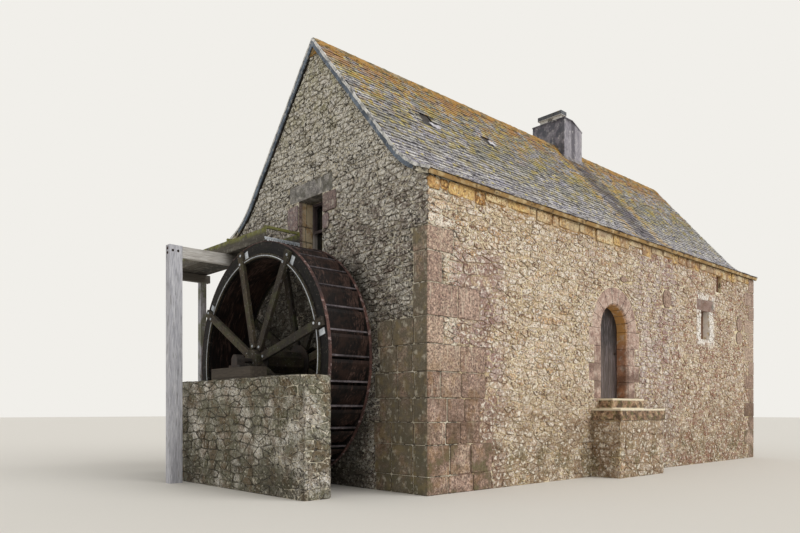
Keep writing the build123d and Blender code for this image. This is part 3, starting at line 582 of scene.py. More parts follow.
# Riven slate: thin, flat, violet-grey, with crusts of yellow and orange lichen.
# The dark line is painted shadow, cast by the next slate's tail.
SLATE = Finish(
    "riven_slate", ("#5f5c68", "#aaa6ae", "#838090", "#d6d2cc", "#6c6875", "#bab5b0"),
    tone=Tone.PIECE, mottle=(0.6, 0.06), speckle=(0.6, 0.03), roughness=(0.55, 0.8),
    bump=(0.002, 0.03), shade=Shade("#181418", 0.96, 0.27, 0.38), stains=(
        Stain("#6b6a44", 0.55, 0.6, 0.4, 0.56, (Limit("Z", 5.1, 6.3),)),
        Stain("#a8943c", 0.8, 0.26, 0.52, 0.59, (Limit("Z", 5.0, 6.4),)),
        Stain("#b28630", 0.9, 0.2, 0.53, 0.59, (Limit("Z", 6.0, 7.4),)),
        Stain("#a56f24", 0.8, 0.4, 0.44, 0.56, (Limit("Z", 7.2, 7.7),)),
        Stain("#d8c65a", 0.8, 0.12, 0.6, 0.66),
        Stain("#e8e4dc", 0.7, 0.05, 0.57, 0.66, (Limit("Z", 6.6, 5.4),)),
        Stain("#241d20", 0.85, 0.14, 0.57, 0.66),
        Stain("#c39a3c", 0.7, 0.2, 0.44, 0.56, (Limit("X", 6.9, 7.1), Limit("X", 7.5, 7.3))),
        Stain("#c39a3c", 0.7, 0.2, 0.44, 0.56, (Limit("X", 8.3, 8.5), Limit("X", 8.9, 8.7))),
        Stain("#453a44", 0.75, 0.4, 0.3, 0.5, (Limit("X", 7.25, 7.6), Limit("X", 8.5, 8.15),
              Limit("Y", 0.0, -0.3)))))

# A slate that slid out of its course: its bare, clean face shows.
SLIPPED_SLATE = Finish(
    "slipped_slate", ("#9a97a0", "#cfccd0", "#b5b2b8"), tone=Tone.PIECE, speckle=(0.5, 0.03),
    roughness=(0.5, 0.75), bump=(0.002, 0.03))

# The boarding under the slates, seen where a slate has slipped. Its edge at the
# eaves is daubed with the ochre mortar that beds the lowest slates.
# Its dark colour also serves as painted shade in the gaps between the slates and in the holes.
UNDER_SLATE = Finish(
    "tarred_boarding", ("#1d1a18", "#2f2a26", "#453d36"), mottle=(0.5, 0.08), speckle=(0.3, 0.012),
    bump=(0.002, 0.03), stains=(
        Stain("#a5834f", 0.95, 0.4, 0.1, 0.3, EAVES_EDGE),
        Stain("#d0bd92", 0.7, 0.2, 0.48, 0.6, EAVES_EDGE),
        Stain("#4a3520", 0.8, 0.1, 0.54, 0.64, EAVES_EDGE)))

# Mortar bedded over the ridge by hand: lumpy, and nearly hidden by orange lichen.
RIDGE_MORTAR = Finish(
    "ridge_mortar", ("#5a4c39", "#8f8064", "#b6a582"), patch_size=0.25, mottle=(0.7, 0.07),
    speckle=(0.5, 0.03), bump=(0.008, 0.05), stains=(
        Stain("#a97a2b", 0.85, 0.3, 0.38, 0.52),
        Stain("#4d4a2a", 0.7, 0.14, 0.5, 0.6),
        Stain("#2c2620", 0.7, 0.08, 0.57, 0.66)))

# Slates hung on edge along the gable, blue-grey and nearly free of lichen.
VERGE_SLATE = Finish(
    "hung_verge_slate", ("#39424e", "#586473", "#74808e"), patch_size=0.3, mottle=(0.7, 0.08),
    speckle=(0.45, 0.03), roughness=(0.45, 0.7), stains=(Stain("#c9c8c2", 0.5, 0.08, 0.56, 0.66),))

# Lime fillet run along the verge with a trowel: whitish, with dark weathered gaps.
VERGE_MORTAR = Finish(
    "verge_lime_mortar", ("#b0afab", "#d6d4cf", "#f0eeea"), patch_size=0.2, mottle=(0.8, 0.08),
    speckle=(0.5, 0.012), bump=(0.008, 0.04), stains=(Stain("#4f5257", 0.75, 0.14, 0.53, 0.62),))

# The riven slab over the flue: dark and even, pale with lime at its bed, lichened on top.
COVER_SLATE = Finish(
    "chimney_cover_slate", ("#34363a", "#4b4d52", "#63656a"), patch_size=0.2, mottle=(0.6, 0.08),
    speckle=(0.4, 0.012), roughness=(0.5, 0.75), stains=(
        Stain("#d9d5cd", 0.95, 0.5, 0.1, 0.3, (Limit("Z", 8.775, 8.762),)),
        Stain("#8c7c3a", 0.5, 0.08, 0.54, 0.64, (Limit("Z", 8.8, 8.86),))))

# Cement render, floated smooth: weather side dark and mottled, a damp streak down
# the middle of the front.
CEMENT_RENDER = Finish(
    "cement_render", ("#77747c", "#8f8b92", "#a7a3a8"), patch_size=0.3, mottle=(0.6, 0.12),
    speckle=(0.35, 0.03), grain=Grain.ALONG_Z, grain_run=4.0, bump=(0.003, 0.04), stains=(
        Stain("#4e4f58", 0.85, 0.22, 0.34, 0.52, CHIMNEY_SIDE),
        Stain("#8d8790", 0.6, 0.12, 0.52, 0.62, CHIMNEY_SIDE),
        Stain("#4c4850", 0.8, 0.5, 0.2, 0.4, (Limit("X", 7.68, 7.76), Limit("X", 7.93, 7.85))),
        Stain("#39343a", 0.7, 0.3, 0.3, 0.5, (Limit("Z", 8.5, 8.6),)),
        Stain("#c4c0bd", 0.5, 0.1, 0.56, 0.66)))

# Mortar pressed round the chimney's foot: plain grey, with a few brown stains.
CHIMNEY_MORTAR = Finish(
    "chimney_lime_mortar", ("#6b6668", "#8b8688", "#aaa5a4"), patch_size=0.15, mottle=(0.7, 0.08),
    speckle=(0.3, 0.012), bump=(0.005, 0.03), stains=(Stain("#5d5347", 0.6, 0.1, 0.55, 0.66),))

# Softwood boards weathered outdoors: fibres stand proud, colour bleached grey. Darker towards the top:
# painted shade under the arch.
DOOR_TIMBER = Timber(
    "weathered_door_board", ("#3e3330", "#61554f", "#4b413d", "#736761"), tone=Tone.PIECE,
    mottle=(0.6, 0.03), grain_run=22.0, roughness=(0.6, 0.85), bump=(0.003, 0.015), stains=(
        Stain("#1e1817", 0.85, 0.4, 0.2, 0.4, (Limit("Z", 2.3, 2.8),)),
        Stain("#8d8287", 0.4, 0.05, 0.52, 0.62, stretch=DRIPS)))

# The boards across the door's back, out of the sun: browner, fibres flat.
LEDGE_TIMBER = Timber(
    "door_ledge_board", ("#463b33", "#665a50"), mottle=(0.5, 0.03), speckle=(0.35, 0.012),
    grain=Grain.ALONG_X, grain_run=22.0, bump=(0.003, 0.015))

# Oak kept wet by the wheel: nearly black, with pale dried water marks. Water fills
# the fibres, so the IOR is water's.
WET_TIMBER = Timber(
    "wet_oak_rim", ("#060505", "#110e0e", "#231d1c"), mottle=(0.8, 0.03), speckle=(0.45, 0.012),
    grain=Grain.AROUND_WHEEL, grain_run=12.0, roughness=(0.6, 0.85), ior=1.33, stains=(
        Stain("#26261a", 0.5, 0.16, 0.53, 0.64),
        Stain("#6e665e", 0.45, 0.04, 0.6, 0.68)))

# Bucket boards, the wettest oak: black and red-brown streaks drawn by the water.
BUCKET_TIMBER = Timber(
    "wet_oak_bucket_board", ("#060404", "#120c0b", "#1f1512", "#523f38"), mottle=(1.3, 0.03),
    speckle=(0.5, 0.012), grain=Grain.AROUND_WHEEL, grain_run=8.0, roughness=(0.6, 0.85), ior=1.33,
    stains=(Stain("#33221b", 0.6, 0.3, 0.48, 0.6),))

# Sawn oak arms, splashed but not soaked: dark, with green and grey bloom.
ARM_TIMBER = Timber(
    "damp_oak_arm", ("#191510", "#332b20", "#4f4534"), mottle=(0.7, 0.03), speckle=(0.45, 0.012),
    grain=Grain.ALONG_ARM, grain_run=14.0, stains=(
        Stain("#45472a", 0.5, 0.2, 0.48, 0.6),
        Stain("#231c19", 0.6, 0.12, 0.52, 0.62),
        Stain("#8d8a8c", 0.5, 0.04, 0.6, 0.68)))

# Sawn oak posts in the open: silver-grey, streaked along the fibres, one side green.
TRESTLE_TIMBER = Timber(
    "silvered_oak_post", ("#8b8b92", "#b3b3ba", "#cbcbd0"), bump=(0.004, 0.02), stains=(
        Stain("#6d7050", 0.75, 0.3, 0.44, 0.56, (Limit("Y", 2.6, 3.4),)),
        Stain("#6c6a68", 0.6, 0.06, 0.55, 0.65, stretch=DRIPS)))

# The beams that tie them: the same silver, with painted shade where they run under the launder.
BEAM_TIMBER = Timber(
    "silvered_oak_beam", ("#98958f", "#bfbbb5", "#d6d2cc"), grain=Grain.ALONG_X, bump=(0.004, 0.02),
    stains=(Stain("#4b463e", 0.8, 0.3, 0.2, 0.4, (Limit("X", -1.0, -0.8),)),))

# The oak beam under the bearing: brown-black, greasy, its saw marks worn off.
BEARING_TIMBER = Timber(
    "oak_bearing_beam", ("#2b251f", "#463e35", "#5f564b"), mottle=(0.6, 0.04),
    speckle=(0.35, 0.012), grain=Grain.ALONG_Y, bump=(0.004, 0.02))

# Larch boards that carry the water: brown-grey, moss along their top edges.
LAUNDER_TIMBER = Timber(
    "larch_launder_board", ("#2f2b26", "#4a453d", "#655f54"), grain=Grain.ALONG_Y, grain_run=18.0,
    stains=(
        Stain("#7c7c40", 0.85, 0.14, 0.36, 0.5, (Limit("Z", LAUNDER_TOP - 0.12, LAUNDER_TOP - 0.02),)),
        Stain("#8c8a80", 0.5, 0.1, 0.55, 0.65)))

# Shutter boards once stained red-brown, now faded along the fibres.
SHUTTER_TIMBER = Timber(
    "stained_shutter_board", ("#4a3021", "#6e4a33", "#80583c"), mottle=(0.5, 0.03),
    speckle=(0.35, 0.012), grain_run=18.0, bump=(0.002, 0.015))

# The window's planed oak bars, bare and smooth: dim, with a bleached lower corner.
WINDOW_TIMBER = Timber(
    "bare_oak_window_frame", ("#3f3638", "#574c4d", "#6f6463"), mottle=(0.5, 0.04),
    speckle=(0.3, 0.012), grain_run=10.0, roughness=(0.5, 0.7), bump=(0.001, 0.03),
    stains=(Stain("#bdb6b0", 0.8, 0.2, 0.2, 0.4, (Limit("Z", 4.65, 4.5), Limit("Y", 0.4, 0.46))),))

# Sawn pine floor and joists, never painted: warm and plain.
FLOOR_TIMBER = Timber(
    "pine_floor_board", ("#6b5238", "#8a6e4e", "#9f8361"), mottle=(0.5, 0.04), speckle=(0.3, 0.012),
    grain=Grain.ALONG_X, grain_run=18.0, bump=(0.002, 0.03))

# Iron left bare outdoors, forged: black-brown scale, dull with rust.
WROUGHT_IRON = Metal(
    "wrought_iron", ("#231c18", "#3f2f26", "#5a3e2c"), mottle=(0.6, 0.02), roughness=(0.55, 0.8))

# The same, cast: a little smoother and greyer, with rust in its pores.
CAST_IRON = Metal(
    "cast_iron", ("#1f1d1c", "#35302d", "#4b3a2f"))

# Rolled iron bands on the rims: rust, worn pink-brown, with pale patches that are painted highlights.
RUSTED_BAND = Metal(
    "rusted_iron_band", ("#2a1c1b", "#48302b", "#6b4a40"), mottle=(0.8, 0.05),
    roughness=(0.6, 0.85), metallic=0.2, stains=(Stain("#b9a5a2", 0.5, 0.08, 0.55, 0.64),))

# Steel dipped in zinc: grey spangle, half dull.
GALVANISED = Metal(
    "galvanised_steel", ("#9aa1a9", "#c3c9cf", "#dde2e7"), mottle=(0.6, 0.04), speckle=(0.3, 0.02),
    roughness=(0.35, 0.55), metallic=0.3, bump=(0.0005, 0.03))

# The buckets' worn edges: oak rubbed grey by the water that spills over them.
LIP_TIMBER = Timber(
    "worn_bucket_lip", ("#2c2729", "#4d4649", "#716a6d"), mottle=(0.8, 0.05), grain=Grain.NONE,
    bump=(0.002, 0.03))


def window_glass() -> Material:
    """Make old drawn glass: glossy, a little uneven and dusty, and dark as painted shade of the room behind
    it.

    Returns:
        Its material.
    """
    material = bpy.data.materials.new("drawn_window_glass")
    material.use_nodes = True
    tree = material.node_tree
    tree.nodes.clear()
    add = partial(add_node, tree)
    place = add("ShaderNodeTexCoord").outputs["Object"]
    waves = add("ShaderNodeTexNoise", {"Vector": place, "Scale": 6.0, "Detail": 2.0})
    bump = add("ShaderNodeBump", {"Strength": 0.3, "Distance": 0.002, "Height": waves})
    # The ramp's dark colours are painted shade of the room behind; its variation is dust.
    dust = add("ShaderNodeValToRGB", {"Fac": waves}, stops=[(0.4, "#0d0f0d"), (0.7, "#262b24")])
    shader = add("ShaderNodeBsdfPrincipled", {"Base Color": dust, "Roughness": 0.12, "Normal": bump})
    add("ShaderNodeOutputMaterial", {"Surface": shader})
    return material


@cache
def material_of(finish: Finish) -> Material:
    """Build the material of a finish the first time, and hand it out again later."""
    return Surface(finish).build()


# Meshes

class Shape:
    """Collects closed solids, each with its own tone, for one piece."""

    def __init__(self, seed: int = 0) -> None:
        """Start empty, with a source of chance of its own.

        Args:
            seed: The seed of its draws.
        """
        self.draw = random.Random(seed)
        self.vertices: list[Vector] = []
        self.faces: list[tuple[int, ...]] = []
        self.tones: list[float] = []
        self.shades: list[float] = []

    def loft(self, rings: Sequence[Sequence[Vector]], tone: float,
             shades: Optional[Sequence[float]] = None) -> None:
        """Add a solid through rings of equal count, closed at both ends.

        Args:
            rings: Each ring runs anticlockwise seen from the last ring's side.
            tone: The solid's place on its finish's palette, 0 to 1.
            shades: How much painted shade each ring's edge gets, 0 to 1.
        """
        start = len(self.vertices)
        count = len(rings[0])
        for level, ring in enumerate(rings):
            self.vertices.extend(ring)
            self.tones.extend([tone] * count)
            self.shades.extend([shades[level] if shades else 0.0] * count)
        self.faces.append(tuple(start + i for i in reversed(range(count))))
        for level in range(len(rings) - 1):
            low = start + level * count
            high = low + count
            for i in range(count):
                j = (i + 1) % count
                self.faces.append((low + i, low + j, high + j, high + i))
        top = start + (len(rings) - 1) * count
        self.faces.append(tuple(top + i for i in range(count)))

    def box(self, low: Vector, high: Vector, edge: float, tone: float) -> None:
        """Add a block with small chamfers on its upright edges and its top and bottom.

        Args:
            low: Its lowest corner.
            high: Its highest corner.
            edge: How wide the chamfers are.
            tone: Its place on its finish's palette.
        """
        def outline(inward: float, z: float) -> list[Vector]:
            """Draw the block's outline at one height.

            Args:
                inward: How far its sides are drawn in.
                z: The height.

            Returns:
                Eight points, anticlockwise seen from above.
            """
            x0, x1 = low.x + inward, high.x - inward
            y0, y1 = low.y + inward, high.y - inward
            cut = max(edge - inward * 0.5, edge * 0.4)
            flat = [(x0 + cut, y0), (x1 - cut, y0), (x1, y0 + cut), (x1, y1 - cut),
                    (x1 - cut, y1), (x0 + cut, y1), (x0, y1 - cut), (x0, y0 + cut)]
            return [Vector((x, y, z)) for x, y in flat]

        # The chamfers at top and bottom get painted shade, partly dirt in the joints.
        self.loft([outline(edge, low.z), outline(0.0, low.z + edge),
                   outline(0.0, high.z - edge), outline(edge, high.z)], tone, (1.0, 0.0, 0.0, 1.0))

    def piece(self, name: str, finish: Finish, slot: str, body: str = "mill") -> Object:
        """Make the Blender object, dressed and riding on its body.

        Args:
            name: The piece's name.
            finish: Its finish.
            slot: Not used.
            body: The body that it moves with.

        Returns:
            The new object.
        """
        mesh = bpy.data.meshes.new(name)
        mesh.from_pydata([tuple(v) for v in self.vertices], [], self.faces)
        for label, values in (("tone", self.tones), ("shade", self.shades)):
            mesh.attributes.new(label, "FLOAT", "POINT").data.foreach_set("value", values)
        mesh.update()
        return place_piece(bpy.data.objects.new(name, mesh), finish, body)


def place_piece(piece: Object, finish: Finish, body: str) -> Object:
    """Link a piece, give it its material and let it ride on its body.

    Args:
        piece: An object with a plain mesh.
        finish: Its finish.
        body: The body that it moves with.

    Returns:
        The same object.
    """
    if piece.name not in bpy.context.scene.collection.objects:
        bpy.context.scene.collection.objects.link(piece)
    piece.data.materials.clear()
    piece.data.materials.append(material_of(finish))
    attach(piece, body)
    piece.data.calc_loop_triangles()
    log.info("%s: %d triangles on %s", piece.name, len(piece.data.loop_triangles), body)
    return piece


# Flat polygons

def clip(outline: list[Flat], a: float, b: float, c: float) -> list[Flat]:
    """Keep the part of a convex outline where a*s + b*z is at most c.

    Args:
        outline: The outline's points in order.
        a: Weight of the first coordinate.
        b: Weight of the second coordinate.
        c: The limit.

    Returns:
        The outline that is left, maybe empty.
    """
    kept: list[Flat] = []
    for i, here in enumerate(outline):
        before = outline[i - 1]
        d_here = a * here[0] + b * here[1] - c
        d_before = a * before[0] + b * before[1] - c
        if (d_here <= 0) != (d_before <= 0):
            t = d_before / (d_before - d_here)
            kept.append((before[0] + t * (here[0] - before[0]), before[1] + t * (here[1] - before[1])))
        if d_here <= 0:
            kept.append(here)
    return kept


def area(outline: Sequence[Flat]) -> float:
    """Return the area of an anticlockwise outline."""
    return 0.5 * sum(outline[i - 1][0] * p[1] - p[0] * outline[i - 1][1] for i, p in enumerate(outline))


def middle(outline: Sequence[Flat]) -> Flat:
    """Return the mean of an outline's points."""
    return (sum(p[0] for p in outline) / len(outline), sum(p[1] for p in outline) / len(outline))


def inset(outline: Sequence[Flat], distance: float) -> list[Flat]:
    """Move each side of a convex outline inwards.

    Args:
        outline: Its points, anticlockwise.
        distance: How far the sides move.

    Returns:
        The smaller outline.
    """
    count = len(outline)
    moved = []
    for i in range(count):
        p, q, r = outline[i - 1], outline[i], outline[(i + 1) % count]
        e1 = Vector((q[0] - p[0], q[1] - p[1])).normalized()
        e2 = Vector((r[0] - q[0], r[1] - q[1])).normalized()
        n1, n2 = Vector((-e1.y, e1.x)), Vector((-e2.y, e2.x))
        push = (n1 + n2) / max(1.0 + n1.dot(n2), 0.35) * distance
        moved.append((q[0] + push.x, q[1] + push.y))
    return moved


def blunt(outline: Sequence[Flat], cut: float) -> list[Flat]:
    """Cut each corner of an outline off, so that one point becomes two.

    Args:
        outline: Its points.
        cut: How far along each side a corner is cut.

    Returns:
        The blunted outline.
    """
    most_of_side = 0.32
    count = len(outline)
    result = []
    for i in range(count):
        here = Vector(outline[i])
        for other in (Vector(outline[i - 1]), Vector(outline[(i + 1) % count])):
            side = other - here
            step = min(cut, side.length * most_of_side)
            result.append(tuple(here + side.normalized() * step))
    return result


def drop_short_sides(outline: Sequence[Flat], least: float) -> list[Flat]:
    """Leave out points that lie nearer to the one before than this."""
    return [p for i, p in enumerate(outline) if (Vector(p) - Vector(outline[i - 1])).length > least]


# The roof line, as in the model

@dataclass
class RoofLine:
    """The top of the roof across the house: a straight slope, then an arc."""

    ridge_height: float = RIDGE_HEIGHT
    kick_run: float = 2.15
    kick_height: float = 5.44
    eaves_run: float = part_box("roof_back")[1].y
    eaves_height: float = 4.90
    depth: float = 0.07
    slope: float = field(init=False)
    radius: float = field(init=False)
    turn: float = field(init=False)
    straight: float = field(init=False)

    def __post_init__(self) -> None:
        """Work out the slope, and the arc over the wall head."""
        fall = self.ridge_height - self.kick_height
        self.slope = math.atan2(fall, self.kick_run)
        self.straight = math.hypot(fall, self.kick_run)
        run = self.eaves_run - self.kick_run
        drop = self.kick_height - self.eaves_height
        self.turn = 2 * (self.slope - math.atan2(drop, run))
        self.radius = math.hypot(run, drop) / (2 * math.sin(self.turn / 2))

    @property
    def centre(self) -> Flat:
        """The arc's centre, above the eaves."""
        return (self.kick_run + self.radius * math.sin(self.slope),
                self.kick_height + self.radius * math.cos(self.slope))

    @property
    def length(self) -> float:
        """The distance along the slates from eaves to ridge."""
        return self.straight + self.radius * self.turn

    def height(self, y: float, depth: float) -> float:
        """Find the height of a line that runs below or above the slates' plane.

        Args:
            y: The place across the house.
            depth: How deep the line runs, less than 0 for above.

        Returns:
            Its height there.
        """
        out = abs(y)
        kick = self.kick_run - depth * math.sin(self.slope)
        if out <= kick:
            return self.ridge_height - depth / math.cos(self.slope) - math.tan(self.slope) * out
        across = min(abs(out - self.centre[0]), self.radius + depth)
        return self.centre[1] - math.sqrt((self.radius + depth) ** 2 - across ** 2)

    def section(self, distance: float, side: int, corners: Sequence[Flat]) -> list[Vector]:
        """Place the corners of something that runs up a slope.

        Args:
            distance: How far up the slope they are.
            side: -1 for the front slope, 1 for the back.
            corners: X and lift over the slates' plane, of each corner.

        Returns:
            The corners in space.
        """
        points = []
        for x, lift in corners:
            out, z, _ = self.along(distance, lift)
            points.append(Vector((x, side * out, z)))
        return points

    def along(self, distance: float, lift: float) -> tuple[float, float, float]:
        """Find a point by its distance up the slates from the eaves.

        Args:
            distance: How far up the slope.
            lift: How far above the slates' plane.

        Returns:
            How far out from the ridge plane, how high, and the slope there.
        """
        arc = self.radius * self.turn
        if distance < arc:
            angle = self.slope - self.turn + distance / self.radius
            reach = self.radius - lift
            return (self.centre[0] - reach * math.sin(angle),
                    self.centre[1] - reach * math.cos(angle), angle)
        left = self.straight - (distance - arc)
        return (left * math.cos(self.slope) + lift * math.sin(self.slope),
                self.ridge_height - left * math.sin(self.slope) + lift * math.cos(self.slope),
                self.slope)


ROOF = RoofLine()


# Masonry

class Facing(Enum):
    """Which way a face looks. Each value is its own right, up and outward."""

    FRONT = ((1, 0, 0), (0, 0, 1), (0, -1, 0))
    WHEEL_SIDE = ((0, -1, 0), (0, 0, 1), (-1, 0, 0))
    FAR_SIDE = ((0, 1, 0), (0, 0, 1), (1, 0, 0))
    BACK = ((-1, 0, 0), (0, 0, 1), (0, 1, 0))
    UPWARDS = ((1, 0, 0), (0, 1, 0), (0, 0, 1))


@dataclass
class WallFace:
    """One face of a wall seen square on, with what cuts into its stones."""

    origin: tuple[float, float, float]
    facing: Facing
    length: float
    height: float
    openings: list[Gap] = field(default_factory=list)
    arches: list[tuple[float, float, float]] = field(default_factory=list)
    gable_centre: Optional[float] = None
    overrun: float = 0.0

    def point(self, s: float, z: float, out: float) -> Vector:
        """Return the place in space of a point of the face."""
        right, up, outward = (Vector(direction) for direction in self.facing.value)
        return Vector(self.origin) + right * s + up * z + outward * out

    def trim(self, outline: list[Flat]) -> list[Flat]:
        """Cut an outline back to the face, clear of its openings.

        Args:
            outline: A convex outline, anticlockwise.

        Returns:
            What is left of it.
        """
        ends = (self.overrun, self.length + self.overrun)
        for a, b, c in ((-1, 0, ends[0]), (1, 0, ends[1]), (0, -1, 0), (0, 1, self.height)):
            outline = clip(outline, a, b, c)
        if self.gable_centre is not None and len(outline) > 2:
            s = middle(outline)[0]
            y = s - self.gable_centre
            step = 0.01
            deep = ROOF.depth + 0.01
            rise = (ROOF.height(y + step, deep) - ROOF.height(y - step, deep)) / (2 * step)
            outline = clip(outline, -rise, 1, ROOF.height(y, deep) - rise * s)
        for opening in self.openings:
            if len(outline) < 3 or not self.touches(outline, opening):
                continue
            s0, s1, z0, z1 = opening
            cuts = ((1, 0, s0), (-1, 0, -s1), (0, 1, z0), (0, -1, -z1))
            parts = [clip(outline, *cut) for cut in cuts]
            outline = max(parts, key=lambda p: area(p) if len(p) > 2 else 0.0)
        for s, z, radius in self.arches:
            if len(outline) < 3:
                continue
            at = middle(outline)
            away = Vector((at[0] - s, at[1] - z))
            if away.y > 0:
                away.normalize()
                outline = clip(outline, -away.x, -away.y, -(away.x * s + away.y * z + radius))
        return outline

    @staticmethod
    def touches(outline: list[Flat], opening: Gap) -> bool:
        """Tell whether an outline's box overlaps an opening.

        Args:
            outline: The outline's points.
            opening: The opening.

        Returns:
            True if it does.
        """
        ss = [p[0] for p in outline]
        zs = [p[1] for p in outline]
        s0, s1, z0, z1 = opening
        return max(ss) > s0 and min(ss) < s1 and max(zs) > z0 and min(zs) < z1


def lay_stone(face: WallFace, shape: Shape, corners: list[Flat], joint: float, proud: float,
              cut: float, tilt: float = 0.04) -> None:
    """Add one stone with a blunt outline and sloping edges round a flat face.

    Args:
        face: The wall face.
        shape: The piece that takes the stone.
        corners: The place to fill, convex and anticlockwise.
        joint: Half the width of the joint round it.
        proud: How far its face stands out.
        cut: How far its corners are cut off.
        tilt: How much its face may lean.
    """
    least_area, least_shell = 0.0022, 0.00132
    least_side, least_edge = 0.012, 0.002
    buried, rounded, edge_share = 0.02, 0.016, 0.35
    tone = shape.draw.random()
    lean = (shape.draw.uniform(-tilt, tilt), shape.draw.uniform(-tilt, tilt))
    outline = face.trim(corners)
    if len(outline) < 3 or area(outline) < least_area:
        return
    outline = drop_short_sides(outline, least_side)
    if len(outline) < 3:
        return
    shell = drop_short_sides(blunt(inset(outline, joint), cut), least_edge)
    if len(shell) < 5 or area(shell) < least_shell:
        return
    at = middle(shell)
    size = math.sqrt(area(shell) / math.pi)

    def ring(shrink: float, out: float) -> list[Vector]:
        """Draw the stone's outline at one distance from the face.

        Args:
            shrink: How far it is drawn in.
            out: How far it stands out.

        Returns:
            Its points in space.
        """
        share = min(shrink / size, 0.6)
        points = []
        for p in shell:
            s, z = p[0] + (at[0] - p[0]) * share, p[1] + (at[1] - p[1]) * share
            points.append(face.point(s, z, out + lean[0] * (s - at[0]) + lean[1] * (z - at[1])))
        return points

    # The sloping edge gets painted shade where it turns into the joint, partly dirt in the joint.
    rings = [ring(0.0, -buried), ring(0.0, proud * edge_share), ring(rounded, proud)]
    shape.loft(rings, tone, (1.0, 1.0, 0.0))


@dataclass
class RubbleLayer:
    """Random rubble: stones that fit each other, brought roughly to courses."""

    course: float = 0.135
    stone_length: float = 0.23
    flatness: float = 1.5
    stray: Flat = (0.4, 0.15)
    bed_wave: float = 0.7
    left_out: float = 0.16
    halved: float = 0.2
    coarse_reach: float = 0.0
    joint: Flat = (0.002, 0.009)
    proud: Flat = (0.005, 0.018)
    cut: Flat = (0.01, 0.035)
    seed: int = 1

    def middles(self, face: WallFace, draw: random.Random) -> dict[tuple[int, int], list[Flat]]:
        """Choose the middles of the stones, row by row.

        Args:
            face: The wall face.
            draw: The source of chance.

        Returns:
            Row and column to the middles there: none, one or two.
        """
        places: dict[tuple[int, int], list[Flat]] = {}
        for row in range(-1, int(face.height / self.course) + 2):
            for column in range(-2, int(face.length / self.stone_length) + 3):
                s = (column + 0.5 * (row % 2) + draw.uniform(-self.stray[0], self.stray[0]))
                s *= self.stone_length
                z = (row + 0.5 + draw.uniform(-self.stray[1], self.stray[1])) * self.course
                z += self.bed_wave * self.course * noise.noise(Vector((s / 0.9, row * 0.31, self.seed)))
                chance = draw.random()
                left_out = self.left_out
                if self.coarse_reach:
                    left_out *= 1.0 + 1.6 * max(0.0, 1.0 - s / self.coarse_reach)
                if chance < left_out:
                    places[row, column] = []
                elif chance > 1.0 - self.halved:
                    off, rise = 0.25 * self.stone_length, draw.uniform(-0.25, 0.25) * self.course
                    places[row, column] = [(s - off, z - rise), (s + off, z + rise)]
                else:
                    places[row, column] = [(s, z)]
        return places

    def outline(self, places: dict[tuple[int, int], list[Flat]], row: int, column: int,
                own: Flat) -> list[Flat]:
        """Cut the place of one stone out between its neighbours.

        Args:
            places: The middles of all the stones.
            row: The stone's row.
            column: The stone's column.
            own: The stone's middle.

        Returns:
            Its outline, with beds that lie flatter than its sides stand upright.
        """
        s, z = own
        wide, tall = 1.5 * self.stone_length, 1.5 * self.course
        cell = [(s - wide, z - tall), (s + wide, z - tall), (s + wide, z + tall), (s - wide, z + tall)]
        weight = (self.flatness * self.stone_length / self.course) ** 2
        for other_row in range(row - 2, row + 3):
            for other_column in range(column - 3, column + 4):
                for other in places.get((other_row, other_column), ()):
                    if other == own or not cell:
                        continue
                    a, b = other[0] - s, (other[1] - z) * weight
                    c = (other[0] ** 2 - s ** 2 + weight * (other[1] ** 2 - z ** 2)) / 2
                    cell = clip(cell, a, b, c)
        return cell

    def lay(self, face: WallFace, shape: Shape, ends: Flat = (-1.0, 99.0)) -> None:
        """Cover one face, or a part of it, with stones.

        Args:
            face: The wall face.
            shape: The piece that takes the stones.
            ends: Between which places along the face the stones' middles lie.
        """
        draw = shape.draw
        draw.seed(self.seed)
        places = self.middles(face, draw)
        for (row, column), owns in places.items():
            for own in owns:
                if not ends[0] <= own[0] < ends[1]:
                    continue
                cell = self.outline(places, row, column, own)
                if len(cell) > 2:
                    lay_stone(face, shape, cell, draw.uniform(*self.joint),
                              draw.uniform(*self.proud), draw.uniform(*self.cut))


